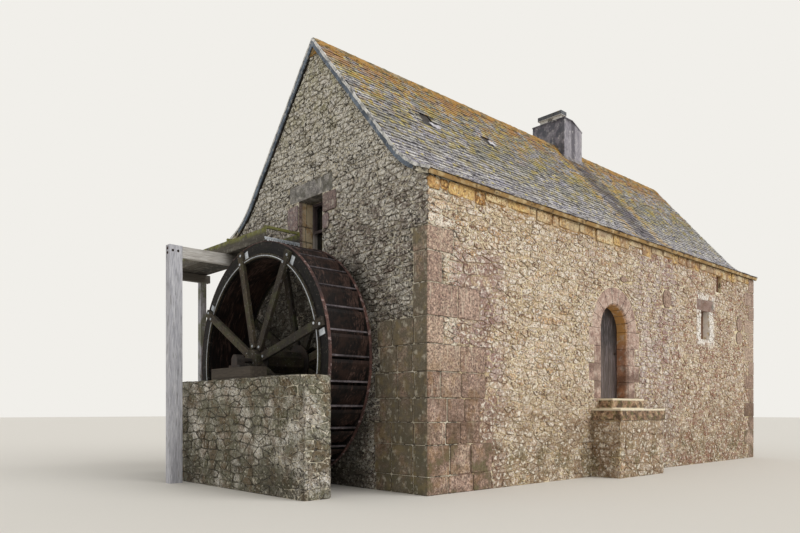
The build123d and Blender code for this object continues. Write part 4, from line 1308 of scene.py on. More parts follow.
@dataclass
class CornerStones:
    """Dressed blocks that turn the corners, and the big ones beside the near corner."""

    near_beds: tuple[float, ...] = (0.0, 0.28, 0.76, 1.105, 1.48, 1.885, 2.305, 2.725, 3.235, 3.715, 4.09)
    near_lengths: tuple[float, ...] = (0.45, 0.48, 0.38, 0.42, 0.27, 0.72, 0.34, 0.66, 0.31, 0.56)
    near_depth: float = 0.30
    near_front_reach: tuple[float, float] = (1.15, 1.5)
    near_gable_reach: tuple[float, float] = (1.02, 1.24)
    low_courses: int = 6
    gable_courses: int = 7
    middle_course: int = 7
    middle_reach: float = 1.18
    far_courses: int = 13
    long: float = 0.62
    short: float = 0.34
    beside_length: float = 0.44
    proud: float = 0.012
    joint: float = 0.004
    edge: float = 0.013
    front_gaps: list[Gap] = field(default_factory=list)
    gable_gaps: list[Gap] = field(default_factory=list)
    far_front_gaps: list[Gap] = field(default_factory=list)
    plain_gaps: list[Gap] = field(default_factory=list)

    def turn_corner(self, shape: Shape, sides: tuple[int, int], size: Flat, beds: Flat) -> None:
        """Lay one block that shows on both walls of a corner.

        Args:
            shape: The piece that takes the block.
            sides: 0 or 1 along X, and -1 or 1 across the house.
            size: Its length on the eaves wall and on the gable.
            beds: The heights of the joints under and over it.
        """
        proud = self.proud + shape.draw.uniform(-0.003, 0.004)
        xs = (-proud, size[0] - self.joint)
        if sides[0]:
            xs = (HOUSE_LENGTH - size[0] + self.joint, HOUSE_LENGTH + proud)
        ys = sorted((sides[1] * (HALF_WIDTH + proud), sides[1] * (HALF_WIDTH - size[1] + self.joint)))
        shape.box(Vector((xs[0], ys[0], beds[0] + self.joint)),
                  Vector((xs[1], ys[1], beds[1] - self.joint)), self.edge, shape.draw.random())

    def lay_beside(self, shape: Shape, face: WallFace, ends: Flat, beds: Flat) -> None:
        """Lay big blocks side by side on one face.

        Args:
            shape: The piece that takes the blocks.
            face: The wall face, with no openings here.
            ends: Where the row starts and ends.
            beds: The heights of the joints under and over it.
        """
        draw = shape.draw
        count = max(1, round((ends[1] - ends[0]) / self.beside_length))
        joints = [ends[0] + (ends[1] - ends[0]) * i / count for i in range(count + 1)]
        for i in range(1, count):
            joints[i] += draw.uniform(-0.07, 0.07)
        for left, right in zip(joints, joints[1:]):
            corners = [(left, beds[0]), (right, beds[0]), (right, beds[1]), (left, beds[1])]
            lay_stone(face, shape, corners, draw.uniform(0.003, 0.007),
                      self.proud + draw.uniform(-0.004, 0.004), 0.022, 0.01)

    def build(self) -> None:
        """Lay the stones of the four corners and note the places they take."""
        shape = Shape(5)
        draw = shape.draw
        length, width = HOUSE_LENGTH, 2 * HALF_WIDTH
        front = WallFace((0, -HALF_WIDTH, 0), Facing.FRONT, length, ROOF.eaves_height)
        gable = WallFace((0, HALF_WIDTH, 0), Facing.WHEEL_SIDE, width, ROOF.eaves_height)
        for course, first in enumerate(self.near_lengths):
            beds = (self.near_beds[course], self.near_beds[course + 1])
            depth = self.near_depth + draw.uniform(-0.02, 0.03)
            self.turn_corner(shape, (0, -1), (first, depth), beds)
            reach, deep = first, depth
            if course < self.low_courses:
                reach = draw.uniform(*self.near_front_reach)
            elif course == self.middle_course:
                reach = self.middle_reach
            if course < self.gable_courses:
                deep = draw.uniform(*self.near_gable_reach)
            if reach > first:
                self.lay_beside(shape, front, (first, reach), beds)
            if deep > depth:
                self.lay_beside(shape, gable, (width - deep, width - depth), beds)
            self.front_gaps.append((-0.1, reach, *beds))
            self.gable_gaps.append((width - deep, width + 0.1, *beds))
        top = ROOF.height(HALF_WIDTH, ROOF.depth) - 0.01
        for sides in ((0, 1), (1, -1), (1, 1)):
            for course in range(self.far_courses):
                beds = (top * course / self.far_courses, top * (course + 1) / self.far_courses)
                size = (self.long, self.short) if course % 2 else (self.short, self.long)
                self.turn_corner(shape, sides, size, beds)
                if sides == (1, -1):
                    self.far_front_gaps.append((length - size[0], length + 0.1, *beds))
                    self.plain_gaps.append((-0.1, size[1], *beds))
                    self.plain_gaps.append((width - size[1], width + 0.1, *beds))
                if sides == (0, 1):
                    self.gable_gaps.append((-0.1, size[1], *beds))
        shape.piece("corner_stones", CORNER_STONE, "dressed_stone")

    def back_gaps(self) -> list[Gap]:
        """Return the places of the corner stones on the back wall."""
        mirrored = [(HOUSE_LENGTH - s1, HOUSE_LENGTH - s0, z0, z1) for s0, s1, z0, z1 in self.far_front_gaps]
        return self.far_front_gaps + mirrored


@dataclass
class Masonry:
    """The field stones of the four walls, and the dressed ones set in them."""

    spring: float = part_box("door_arch")[0].z
    jamb_courses: int = 4
    jamb_short: float = 0.79
    small_window: Gap = (9.36, 9.81, 3.01, 3.71)
    small_lintel: Gap = (9.13, 10.04, 3.71, 3.98)
    hatch: Gap = (10.23, 10.52, 4.25, 4.67)
    lintel_reach: float = 0.29
    lintel_height: float = 0.30
    eaves_course: Flat = (0.12, 0.24)
    eaves_lengths: Flat = (0.18, 0.7)
    corners: CornerStones = field(default_factory=CornerStones)
    wall_top: float = ROOF.height(HALF_WIDTH + 0.03, ROOF.depth) - 0.004
    axle_half: float = 0.28
    beam_width: float = 0.09
    gable_top: float = RIDGE_HEIGHT - 0.15
    margin: float = 0.006
    overrun: float = 0.012

    def node_gap(self, node: str) -> Gap:
        """Return a node's ends along X and its heights, a little wider."""
        low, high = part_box(node)
        return (low.x - self.margin, high.x + self.margin, low.z - self.margin, high.z + self.margin)

    def door_gaps(self) -> tuple[list[Gap], tuple[float, float, float]]:
        """Return what the doorway takes of the front wall.

        Returns:
            The steps and jambs as rectangles, and the arch's centre and radius.
        """
        low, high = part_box("door_jambs")
        centre, reach = (low.x + high.x) / 2, (high.x - low.x) / 2
        gaps = [self.node_gap(n) for n in ("door_sill", "entrance_step", "entrance_base")]
        course = (self.spring - low.z) / self.jamb_courses
        for row in range(self.jamb_courses):
            half = (reach if row % 2 else self.jamb_short) + self.margin
            gaps.append((centre - half, centre + half, low.z + row * course, low.z + (row + 1) * course))
        ring_low, ring_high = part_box("door_arch")
        return gaps, (centre, self.spring, (ring_high.x - ring_low.x) / 2 + self.margin)

    def lay_eaves_course(self, face: WallFace, seed: int, name: str) -> None:
        """Lay the flat top course of an eaves wall and note its places.

        Args:
            face: The wall face, whose openings it joins.
            seed: The seed of its stones' sizes.
            name: The piece's name.
        """
        shape = Shape(seed)
        draw = shape.draw
        top = face.height
        s, last = -face.overrun, face.length + face.overrun
        least, wave = 0.15, 0.015
        taken = []
        while s < last - least:
            long, tall = draw.uniform(*self.eaves_lengths), draw.uniform(*self.eaves_course)
            end = min(s + long, last)
            corners = [(s, top - tall + draw.uniform(-wave, wave)),
                       (end, top - tall + draw.uniform(-wave, wave)), (end, top), (s, top)]
            lay_stone(face, shape, corners, draw.uniform(0.002, 0.007),
                      draw.uniform(0.01, 0.024), draw.uniform(0.015, 0.04))
            taken.append((s, end, top - tall, top + 1))
            s = end
        face.openings.extend(taken)
        shape.piece(name, EAVES_STONE, "rubble_stone")

    def set_stones(self, face: WallFace, places: Sequence[Gap], finish: Finish, name: str,
                   cut: float = 0.03) -> None:
        """Set single dressed stones into a face and note their places.

        Args:
            face: The wall face, whose openings they join.
            places: Where the stones are.
            finish: Their finish.
            name: The piece's name.
            cut: How far their corners are cut off.
        """
        shape = Shape(len(name))
        for s0, s1, z0, z1 in places:
            corners = [(s0, z0), (s1, z0 + 0.01), (s1, z1), (s0, z1 - 0.01)]
            lay_stone(face, shape, corners, 0.006, 0.02, cut, 0.01)
        face.openings.extend(places)
        shape.piece(name, finish, "dressed_stone")

    def line_window_reveal(self) -> None:
        """Face the lit reveal of the gable window with dressed stones."""
        low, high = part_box("gable_window_frame")
        face = WallFace((0, high.y, low.z), Facing.FRONT, low.x - self.margin, high.z - low.z)
        shape = Shape(61)
        beds = (0.0, 0.34, 0.62, high.z - low.z)
        for z0, z1 in zip(beds, beds[1:]):
            joint = shape.draw.uniform(0.13, 0.2)
            for s0, s1 in ((0.0, joint), (joint, face.length)):
                corners = [(s0, z0), (s1, z0), (s1, z1), (s0, z1)]
                lay_stone(face, shape, corners, 0.003, 0.008, 0.012, 0.0)
        shape.piece("gable_window_reveal_stones", JAMB_STONE, "dressed_stone")

    def build_front(self) -> None:
        """Lay the front wall round its doorway, window and hatch."""
        gaps, arch = self.door_gaps()
        gaps += [self.small_window, self.small_lintel, self.hatch]
        gaps += self.corners.front_gaps + self.corners.far_front_gaps
        face = WallFace((0, -HALF_WIDTH, 0), Facing.FRONT, HOUSE_LENGTH, self.wall_top, gaps, [arch],
                        overrun=self.overrun)
        self.lay_eaves_course(face, 21, "front_eaves_stones")
        blocked = [(7.42, 7.80, 3.58, 4.0), (11.46, 11.86, 3.02, 3.36), (11.5, 11.84, 3.36, 3.74),
                   (5.56, 5.86, 3.92, 4.06)]
        self.set_stones(face, blocked, CORNER_STONE, "front_wall_set_stones", 0.08)
        layer = RubbleLayer(seed=11, course=0.11, stone_length=0.19, halved=0.28, coarse_reach=4.5)
        for name, ends in (("left", (-1.0, arch[0])), ("right", (arch[0], 99.0))):
            shape = Shape()
            layer.lay(face, shape, ends)
            shape.piece(f"front_field_stones_{name}", FRONT_STONE, "rubble_stone")

    def build_wheel_gable(self) -> None:
        """Lay the gable behind the wheel round its window, axle and beam."""
        low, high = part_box("gable_window_frame")
        s0, s1 = HALF_WIDTH - high.y, HALF_WIDTH - low.y
        window = (s0, s1, low.z, high.z)
        lintel = (s0 - self.lintel_reach, s1 + self.lintel_reach, high.z, high.z + self.lintel_height)
        half, across = self.axle_half, HALF_WIDTH - WHEEL_CENTRE.y
        axle = (across - half, across + half, WHEEL_CENTRE.z - half, WHEEL_CENTRE.z + half)
        beam_low, beam_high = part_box("trestle_beams")
        beam_end = HALF_WIDTH - beam_low.y
        beam = (beam_end - self.beam_width - self.margin, beam_end + self.margin,
                beam_low.z - self.margin, beam_high.z + self.margin)
        face = WallFace((0, HALF_WIDTH, 0), Facing.WHEEL_SIDE, 2 * HALF_WIDTH, self.gable_top,
                        [window, lintel, axle, beam] + self.corners.gable_gaps,
                        gable_centre=HALF_WIDTH, overrun=self.overrun)
        joint = 0.005
        jambs = [(s0 - 0.36, s0 - joint, 4.62, 5.12), (s0 - 0.24, s0 - joint, 4.26, 4.62),
                 (s1 + joint, s1 + 0.42, 4.80, 5.16), (s1 + joint, s1 + 0.2, 4.5, 4.8)]
        self.set_stones(face, jambs, JAMB_STONE, "gable_window_jamb_stones")
        shape = Shape()
        layer = RubbleLayer(seed=13, course=0.1, stone_length=0.175, left_out=0.2, halved=0.3,
                            proud=(0.004, 0.034))
        layer.lay(face, shape)
        shape.piece("wheel_gable_field_stones", GABLE_STONE, "rubble_stone")

    def build_far_walls(self) -> None:
        """Lay the back wall and the far gable."""
        back = WallFace((HOUSE_LENGTH, HALF_WIDTH, 0), Facing.BACK, HOUSE_LENGTH, self.wall_top,
                        self.corners.back_gaps())
        gable = WallFace((HOUSE_LENGTH, -HALF_WIDTH, 0), Facing.FAR_SIDE, 2 * HALF_WIDTH,
                         self.gable_top, list(self.corners.plain_gaps), gable_centre=HALF_WIDTH)
        self.lay_eaves_course(back, 22, "back_eaves_stones")
        for name, face, seed in (("back_field_stones", back, 12), ("far_gable_field_stones", gable, 14)):
            shape = Shape()
            RubbleLayer(seed=seed).lay(face, shape)
            shape.piece(name, FRONT_STONE, "rubble_stone")

    def build(self) -> None:
        """Build the corners first, then the walls between them."""
        self.corners.build()
        self.build_front()
        self.build_wheel_gable()
        self.build_far_walls()
        self.line_window_reveal()


@dataclass
class LowMasonry:
    """The stones of the wheel pit's wall and of the block under the steps."""

    margin: float = 0.01

    @staticmethod
    def upright_faces(low: Vector, high: Vector) -> list[WallFace]:
        """Make the four upright faces of a block.

        Args:
            low: The block's lowest corner.
            high: Its highest corner.

        Returns:
            The faces, with the far side and the back last.
        """
        wide, deep, tall = high.x - low.x, high.y - low.y, high.z - low.z
        return [WallFace((low.x, low.y, low.z), Facing.FRONT, wide, tall),
                WallFace((low.x, high.y, low.z), Facing.WHEEL_SIDE, deep, tall),
                WallFace((high.x, low.y, low.z), Facing.FAR_SIDE, deep, tall),
                WallFace((high.x, high.y, low.z), Facing.BACK, wide, tall)]

    def build_pit_wall(self) -> None:
        """Lay the pit wall's four sides and its capping round the bearing beam."""
        shape = Shape()
        low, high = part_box("pit_wall")
        for number, face in enumerate(self.upright_faces(low, high)):
            face.overrun = 0.01
            layer = RubbleLayer(seed=20 + number, course=0.15, stone_length=0.27, proud=(0.004, 0.018))
            layer.lay(face, shape)
        beam_low, beam_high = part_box("bearing_beam")
        beam = (beam_low.x - low.x - self.margin, beam_high.x - low.x + self.margin,
                beam_low.y - low.y - self.margin, beam_high.y - low.y + self.margin)
        top = WallFace((low.x, low.y, high.z), Facing.UPWARDS, high.x - low.x, high.y - low.y, [beam])
        RubbleLayer(seed=30, course=0.26, stone_length=0.3, proud=(0.004, 0.014)).lay(top, shape)
        shape.piece("pit_wall_stones", PIT_STONE, "rubble_stone")

    def build_entrance_base(self) -> None:
        """Lay the three open sides of the block under the steps."""
        shape = Shape()
        low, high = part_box("entrance_base")
        for number, face in enumerate(self.upright_faces(low, high)[:3]):
            RubbleLayer(seed=40 + number, proud=(0.004, 0.018)).lay(face, shape)
        shape.piece("entrance_base_stones", FRONT_STONE, "rubble_stone")

    def build(self) -> None:
        """Build both."""
        self.build_pit_wall()
        self.build_entrance_base()


# Pieces made by Geometry Nodes

class NodeTool:
    """A Geometry Nodes tree that turns marked points into one plain mesh."""

    def __init__(self, kind: str, coat: Finish, inputs: dict[str, tuple[str, Any]]) -> None:
        """Start a tree with named inputs, the first of them its material.

        Args:
            kind: What it builds, for its name.
            coat: The finish of what it builds.
            inputs: Input name to its socket type and value.
        """
        self.coat = coat
        self.tree = bpy.data.node_groups.new(f"{kind} of {coat.name}", "GeometryNodeTree")
        face = self.tree.interface
        face.new_socket("Points", in_out="INPUT", socket_type="NodeSocketGeometry")
        face.new_socket("Mesh", in_out="OUTPUT", socket_type="NodeSocketGeometry")
        self.values = {}
        inputs = {"Material": ("NodeSocketMaterial", material_of(coat)), **inputs}
        for label, (socket_type, value) in inputs.items():
            socket = face.new_socket(label, in_out="INPUT", socket_type=socket_type)
            self.values[socket.identifier] = value
        self.add = partial(add_node, self.tree)
        self.given = self.add("NodeGroupInput").outputs

    def instance(self, solid: Any) -> Node:
        """Put a solid on each point, turned and sized as the point says.

        Args:
            solid: The node or socket that gives the solid.

        Returns:
            The node that gives the instances.
        """
        marks = {}
        for mark in ("turned", "sized"):
            stored = self.add("GeometryNodeInputNamedAttribute", {"Name": mark}, data_type="FLOAT_VECTOR")
            marks[mark] = next(s for s in stored.outputs if s.enabled)
        turned = self.add("FunctionNodeEulerToRotation", {0: marks["turned"]})
        return self.add("GeometryNodeInstanceOnPoints", {
            "Points": self.given["Points"], "Instance": solid,
            "Rotation": turned, "Scale": marks["sized"]})

    def end(self, mesh: Any) -> None:
        """End the tree in Realize Instances and Set Material.

        Args:
            mesh: The node or socket that gives the mesh.
        """
        real = self.add("GeometryNodeRealizeInstances", {0: mesh})
        dressed = self.add("GeometryNodeSetMaterial", {
            "Geometry": real, "Material": self.given["Material"]})
        self.add("NodeGroupOutput", {0: dressed})

    def make(self, name: str, points: "PointSet", slot: str, body: str = "mill") -> Object:
        """Run the tree and keep its result as a plain mesh.

        Args:
            name: The piece's name.
            points: The points and what is stored on them.
            slot: Not used.
            body: The body that it moves with.

        Returns:
            The new piece.
        """
        piece = bpy.data.objects.new(name, points.mesh(name))
        bpy.context.scene.collection.objects.link(piece)
        modifier = piece.modifiers.new("build", "NODES")
        modifier.node_group = self.tree
        for identifier, value in self.values.items():
            modifier[identifier] = value
        graph = bpy.context.evaluated_depsgraph_get()
        result = bpy.data.meshes.new_from_object(
            piece.evaluated_get(graph), preserve_all_data_layers=True, depsgraph=graph)
        piece.modifiers.clear()
        piece.data = result
        result.name = name
        return place_piece(piece, self.coat, body)


class PointSet:
    """Points with a turn, a size and a tone for what is put on them."""

    def __init__(self, seed: int = 0) -> None:
        """Start empty, with a source of chance of its own.

        Args:
            seed: The seed of its draws.
        """
        self.draw = random.Random(seed)
        self.places: list[Vector] = []
        self.turns: list[Vector] = []
        self.sizes: list[Vector] = []
        self.tones: list[float] = []

    def add(self, place: Vector, turn: Vector, size: Vector, tone: float = 0.5) -> None:
        """Add one point.

        Args:
            place: Where it is.
            turn: The turn of what is put on it, in radians about X, Y and Z.
            size: The size of it along its own X, Y and Z.
            tone: Its place on its finish's palette.
        """
        self.places.append(place)
        self.turns.append(turn)
        self.sizes.append(size)
        self.tones.append(tone)

    def mesh(self, name: str) -> Mesh:
        """Make a mesh of loose points with their values.

        Args:
            name: The mesh's name.

        Returns:
            The new mesh.
        """
        mesh = bpy.data.meshes.new(name)
        mesh.from_pydata([tuple(p) for p in self.places], [], [])
        for label, values in (("turned", self.turns), ("sized", self.sizes)):
            stored = mesh.attributes.new(label, "FLOAT_VECTOR", "POINT")
            stored.data.foreach_set("vector", [c for value in values for c in value])
        tone = mesh.attributes.new("tone", "FLOAT", "POINT")
        tone.data.foreach_set("value", self.tones)
        return mesh


def block_tool(finish: Finish, roughen: float, seed: int) -> NodeTool:
    """Make a tree that puts a block on each point and roughens its corners.

    The block's shade runs from 0 at its -Y end to 1 at its +Y end.

    Args:
        finish: The finish of the blocks.
        roughen: How far a corner may move, in metres.
        seed: Seed of the corners' noise.

    Returns:
        The tool.
    """
    tool = NodeTool("blocks", finish, {
        "Roughen": ("NodeSocketFloat", roughen), "Seed": ("NodeSocketInt", seed)})
    block = tool.add("GeometryNodeMeshCube", {"Size": (1.0, 1.0, 1.0)})
    where = tool.add("GeometryNodeInputPosition")
    parts = tool.add("ShaderNodeSeparateXYZ", {0: where})
    run = tool.add(MATHS, {0: parts.outputs["Y"], 1: 0.5}, operation="ADD")
    marked = tool.add("GeometryNodeStoreNamedAttribute", {
        "Geometry": block.outputs["Mesh"], "Name": "shade", "Value": run}, data_type="FLOAT")
    placed = tool.instance(marked)
    real = tool.add("GeometryNodeRealizeInstances", {0: placed})
    low = tool.add(MATHS, {0: tool.given["Roughen"], 1: -1.0}, operation="MULTIPLY")
    spread = tool.add("FunctionNodeRandomValue", {
        "Min": low, "Max": tool.given["Roughen"], "Seed": tool.given["Seed"]}, data_type="FLOAT_VECTOR")
    tool.end(tool.add("GeometryNodeSetPosition", {"Geometry": real, "Offset": spread}))
    return tool


def bolt_tool(finish: Finish, sides: int) -> NodeTool:
    """Make a tree that puts a bolt head on a washer at each point.

    Args:
        finish: The finish of the bolts.
        sides: How many sides the head has.

    Returns:
        The tool. A point's size is the head's width, width and height.
    """
    tool = NodeTool("bolts", finish, {"Sides": ("NodeSocketInt", sides)})
    head = tool.add("GeometryNodeMeshCylinder", {
        "Vertices": tool.given["Sides"], "Radius": 0.5, "Depth": 1.6})
    washer = tool.add("GeometryNodeMeshCylinder", {"Vertices": 14, "Radius": 0.85, "Depth": 0.5})
    both = tool.add("GeometryNodeJoinGeometry", {0: [head.outputs["Mesh"], washer.outputs["Mesh"]]})
    tool.end(tool.instance(both))
    return tool


# Roof

@dataclass
class SlateRoof:
    """Slates in courses, the slipped ones, and the mortar of ridge, verges and chimney."""

    gauge: float = 0.105
    slate_length: float = 0.24
    slate_thickness: float = 0.011
    narrowest: float = 0.11
    widest: float = 0.22
    start_x: float = -0.045
    end_x: float = 12.675
    slipped: tuple[Gap, ...] = ((1.74, 1.66, 0.19, 0.2), (3.62, 1.47, 0.12, 0.11))
    strip_low_x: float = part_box("verge_strips")[0].x

    def build_side(self, side: int) -> None:
        """Lay the slates of one side.

        Args:
            side: -1 for the front, 1 for the back.
        """
        points = PointSet(70 + side)
        draw = points.draw
        under_ridge, past_eaves, bond, least_width = 0.10, 0.012, 0.08, 0.05
        courses = int((ROOF.length - under_ridge) / self.gauge)
        for course in range(courses):
            tail = course * self.gauge - past_eaves
            centre = tail + self.slate_length / 2
            x = self.start_x - draw.uniform(0, bond) - (bond if course % 2 else 0.0)
            while x < self.end_x:
                width = draw.uniform(self.narrowest, self.widest)
                x0, x1 = max(x, self.start_x), min(x + width, self.end_x)
                x += width
                if x1 - x0 < least_width:
                    continue
                self.add_slate(points, side, (x0 + x1) / 2, x1 - x0, centre)
        name = "front_slates" if side < 0 else "back_slates"
        block_tool(SLATE, 0.0035, 8 + side).make(name, points, "roof_slate")

    def add_slate(self, points: PointSet, side: int, x: float, width: float, centre: float) -> None:
        """Add one slate, unless the chimney or a slipped one's gap is there.

        Args:
            points: The slates so far.
            side: -1 for the front, 1 for the back.
            x: Its middle along the eaves.
            width: Its width.
            centre: Its middle's distance up the slope.
        """
        draw = points.draw
        slip = draw.uniform(-0.014, 0.008)
        lift = 0.012 + draw.uniform(-0.002, 0.005)
        twist = draw.uniform(-0.02, 0.02)
        tone = draw.random()
        long = min(self.slate_length, 2 * (ROOF.length - centre) + 0.1)
        out, z, slope = ROOF.along(centre + slip, lift)
        y = side * out
        near = 0.025
        if CHIMNEY_LOW.x - near < x < CHIMNEY_HIGH.x + near and \
                CHIMNEY_LOW.y - near < y < CHIMNEY_HIGH.y + near:
            return
        for hole_x, below, half_x, half_d in self.slipped:
            gone = ROOF.length - below
            if side < 0 and abs(x - hole_x) < half_x and abs(centre - gone) < half_d:
                return
        tilt = math.atan2(0.018, self.slate_length)
        points.add(Vector((x, y, z)), Vector((slope - tilt, 0.0, (math.pi if side > 0 else 0.0) + twist)),
                   Vector((width - 0.005, long, self.slate_thickness)), tone)

    def build_slipped(self) -> None:
        """Build the slates that slid out of each gap and lie below it."""
        points = PointSet(77)
        draw = points.draw
        for hole_x, below, half_x, half_d in self.slipped:
            for step in (0.3, 1.3):
                out, z, slope = ROOF.along(ROOF.length - below - half_d - 0.02 * step, 0.036)
                points.add(
                    Vector((hole_x + step * half_x * 0.6, -out, z)),
                    Vector((slope - 0.05, 0.0, draw.uniform(-0.35, 0.1))),
                    Vector((half_x * 0.55, self.slate_length * 0.6, self.slate_thickness)), draw.random())
        block_tool(SLIPPED_SLATE, 0.002, 6).make("slipped_slates", points, "roof_slate")

    def build_verge_mortar(self) -> None:
        """Run a white fillet of mortar up each verge, over strip and slates."""
        shape = Shape(9)
        draw = shape.draw
        steps = 60
        near_top = ROOF.length - 0.001
        for end in (0, 1):
            for side in (-1, 1):
                rings = []
                for i in range(steps + 1):
                    distance = min(ROOF.length * i / steps, near_top)
                    low = self.strip_low_x - 0.004 - draw.uniform(0, 0.003)
                    high = self.start_x + 0.014 + draw.uniform(-0.008, 0.008)
                    rise = 0.032 + draw.uniform(-0.004, 0.005)
                    drop = 0.012 + draw.uniform(-0.008, 0.01)
                    corners = [(low, -drop), (low + 0.012, -drop), (high, 0.002),
                               (high - 0.012, rise * 0.8), (low + 0.008, rise)]
                    if end:
                        corners = [(HOUSE_LENGTH - x, lift) for x, lift in corners]
                    ring = ROOF.section(distance, side, corners)
                    rings.append(ring if (side > 0) != bool(end) else ring[::-1])
                shape.loft(rings, draw.random())
        shape.piece("verge_mortar_fillets", VERGE_MORTAR, "ridge_mortar")

    def build_verge_feet(self) -> None:
        """Point the roof's edge with mortar from the strips' ends to the eaves."""
        shape = Shape(19)
        draw = shape.draw
        foot = ROOF.radius * ROOF.turn * 0.45
        steps = 8
        thick = 0.018
        far = HOUSE_LENGTH - self.start_x
        for x0, x1 in ((self.start_x - thick, self.start_x), (far, far + thick)):
            for side in (-1, 1):
                rings = []
                for i in range(steps + 1):
                    distance = 0.02 + foot * i / steps
                    low = -ROOF.depth - 0.01 + draw.uniform(-0.008, 0.008)
                    ring = ROOF.section(distance, side, [(x0, low), (x1, low), (x1, 0.004), (x0, 0.004)])
                    rings.append(ring if side > 0 else ring[::-1])
                shape.loft(rings, draw.random())
        shape.piece("verge_foot_mortar", GABLE_MORTAR, "ridge_mortar")

    def build_ridge(self) -> None:
        """Bed the ridge in lumpy mortar over the model's capping."""
        shape = Shape(29)
        draw = shape.draw
        low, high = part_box("ridge_cap")
        steps, sides = 170, 8
        reach = high.y + 0.01
        rings = []
        for i in range(steps + 1):
            x = low.x + 0.01 + (high.x - low.x - 0.02) * i / steps
            half = reach + draw.uniform(-0.02, 0.03)
            ring = [Vector((x, -half + 0.02, ROOF.height(half, 0.05))),
                    Vector((x, half - 0.02, ROOF.height(half, 0.05)))]
            for k in range(sides + 1):
                y = half * (1 - 2 * k / sides)
                lift = 0.034 + draw.uniform(-0.008, 0.012)
                z = min(ROOF.height(y, -lift), high.z + draw.uniform(-0.006, 0.012))
                ring.append(Vector((x, y, z)))
            rings.append(ring)
        shape.loft(rings, 0.5)
        shape.piece("ridge_mortar_bed", RIDGE_MORTAR, "ridge_mortar")

    def build_chimney_fillet(self) -> None:
        """Point the foot of the chimney where it meets the front slope."""
        shape = Shape(39)
        draw = shape.draw
        steps = 14
        rings = []
        y0 = CHIMNEY_LOW.y
        for i in range(steps + 1):
            x = CHIMNEY_LOW.x - 0.02 + (CHIMNEY_HIGH.x - CHIMNEY_LOW.x + 0.04) * i / steps
            run, rise = 0.07 + draw.uniform(-0.02, 0.02), 0.06 + draw.uniform(-0.015, 0.015)
            ring = [Vector((x, y0 - run, ROOF.height(y0 - run, 0.0))),
                    Vector((x, y0 + 0.01, ROOF.height(y0, 0.0))),
                    Vector((x, y0 + 0.01, ROOF.height(y0, 0.0) + rise + 0.03)),
                    Vector((x, y0 - run * 0.6, ROOF.height(y0 - run * 0.6, -rise * 0.5)))]
            rings.append(ring)
        shape.loft(rings, 0.5)
        shape.piece("chimney_foot_mortar", CHIMNEY_MORTAR, "ridge_mortar")

    def build(self) -> None:
        """Build both sides, the verges, the ridge and the chimney's foot."""
        self.build_side(-1)
        self.build_side(1)
        self.build_slipped()
        self.build_verge_mortar()
        self.build_verge_feet()
        self.build_ridge()
        self.build_chimney_fillet()


# Door

@dataclass
class PlankedDoor:
    """The door leaf in upright boards, with its head cut to the arch."""

    leaf: tuple[Vector, Vector] = field(default_factory=lambda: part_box("door_leaf"))
    spring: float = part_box("door_arch")[0].z
    boards: int = 6
    gap: float = 0.005
    edge: float = 0.005

    @property
    def half_width(self) -> float:
        """Half the leaf's width, and the radius of its head."""
        return (self.leaf[1].x - self.leaf[0].x) / 2

    def build(self) -> None:
        """Build the boards in place of the plain leaf."""
        shape = Shape(3)
        low, high = self.leaf
        step = 2 * self.half_width / self.boards
        for number in range(self.boards):
            left = low.x + number * step + self.gap / 2
            right = left + step - self.gap
            tone = shape.draw.random()
            rings = []
            for inward, y in ((self.edge, high.y), (0.0, high.y - self.edge),
                              (0.0, low.y + self.edge), (self.edge, low.y)):
                rings.append([Vector((x, y, z)) for x, z in self.outline(left, right, inward)])
            shape.loft(rings, tone)
        boards = shape.piece("door_boards", DOOR_TIMBER, "door_timber", "door")
        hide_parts("door_leaf")

    def outline(self, left: float, right: float, inward: float) -> list[Flat]:
        """Return one board's outline, anticlockwise seen from the front.

        Args:
            left: Its lower X.
            right: Its higher X.
            inward: How far the outline is drawn in.

        Returns:
            Points in X and Z.
        """
        foot = self.leaf[0].z
        centre = self.leaf[0].x + self.half_width
        x0, x1 = left + inward, right - inward
        points = [(x0, foot + inward), (x1, foot + inward)]
        steps = 6
        for step in range(steps + 1):
            x = x1 + (x0 - x1) * step / steps
            reach = self.half_width - inward
            over = min(abs(x - centre), reach)
            points.append((x, self.spring + math.sqrt(reach ** 2 - over ** 2) + 0.001))
        return points


@dataclass
class ArchPointing:
    """The pointing between the stones of the door's arch, on face and soffit."""

    stones: int = 9
    inner_radius: float = 0.50
    joint: float = 0.009
    proud: float = 0.0025

    def build(self) -> None:
        """Build one strip across the face and one along the soffit at each joint."""
        low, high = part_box("door_arch")
        centre, spring = (low.x + high.x) / 2, low.z
        outer = (high.x - low.x) / 2
        across, reach = (self.inner_radius + outer) / 2, outer - self.inner_radius
        points = PointSet()
        for row in range(1, self.stones):
            angle = math.pi * row / self.stones
            turn = Vector((0.0, math.pi / 2 - angle, 0.0))
            for radius, y, deep, tall in (
                    (across, low.y, 2 * self.proud, reach - 0.01),
                    (self.inner_radius, (low.y + high.y) / 2, high.y - low.y, 2 * self.proud)):
                place = Vector((centre + radius * math.cos(angle), y, spring + radius * math.sin(angle)))
                points.add(place, turn, Vector((self.joint, deep, tall)))
        block_tool(ARCH_POINTING, 0.0015, 5).make("door_arch_pointing", points, "dressed_stone")


# Waterwheel

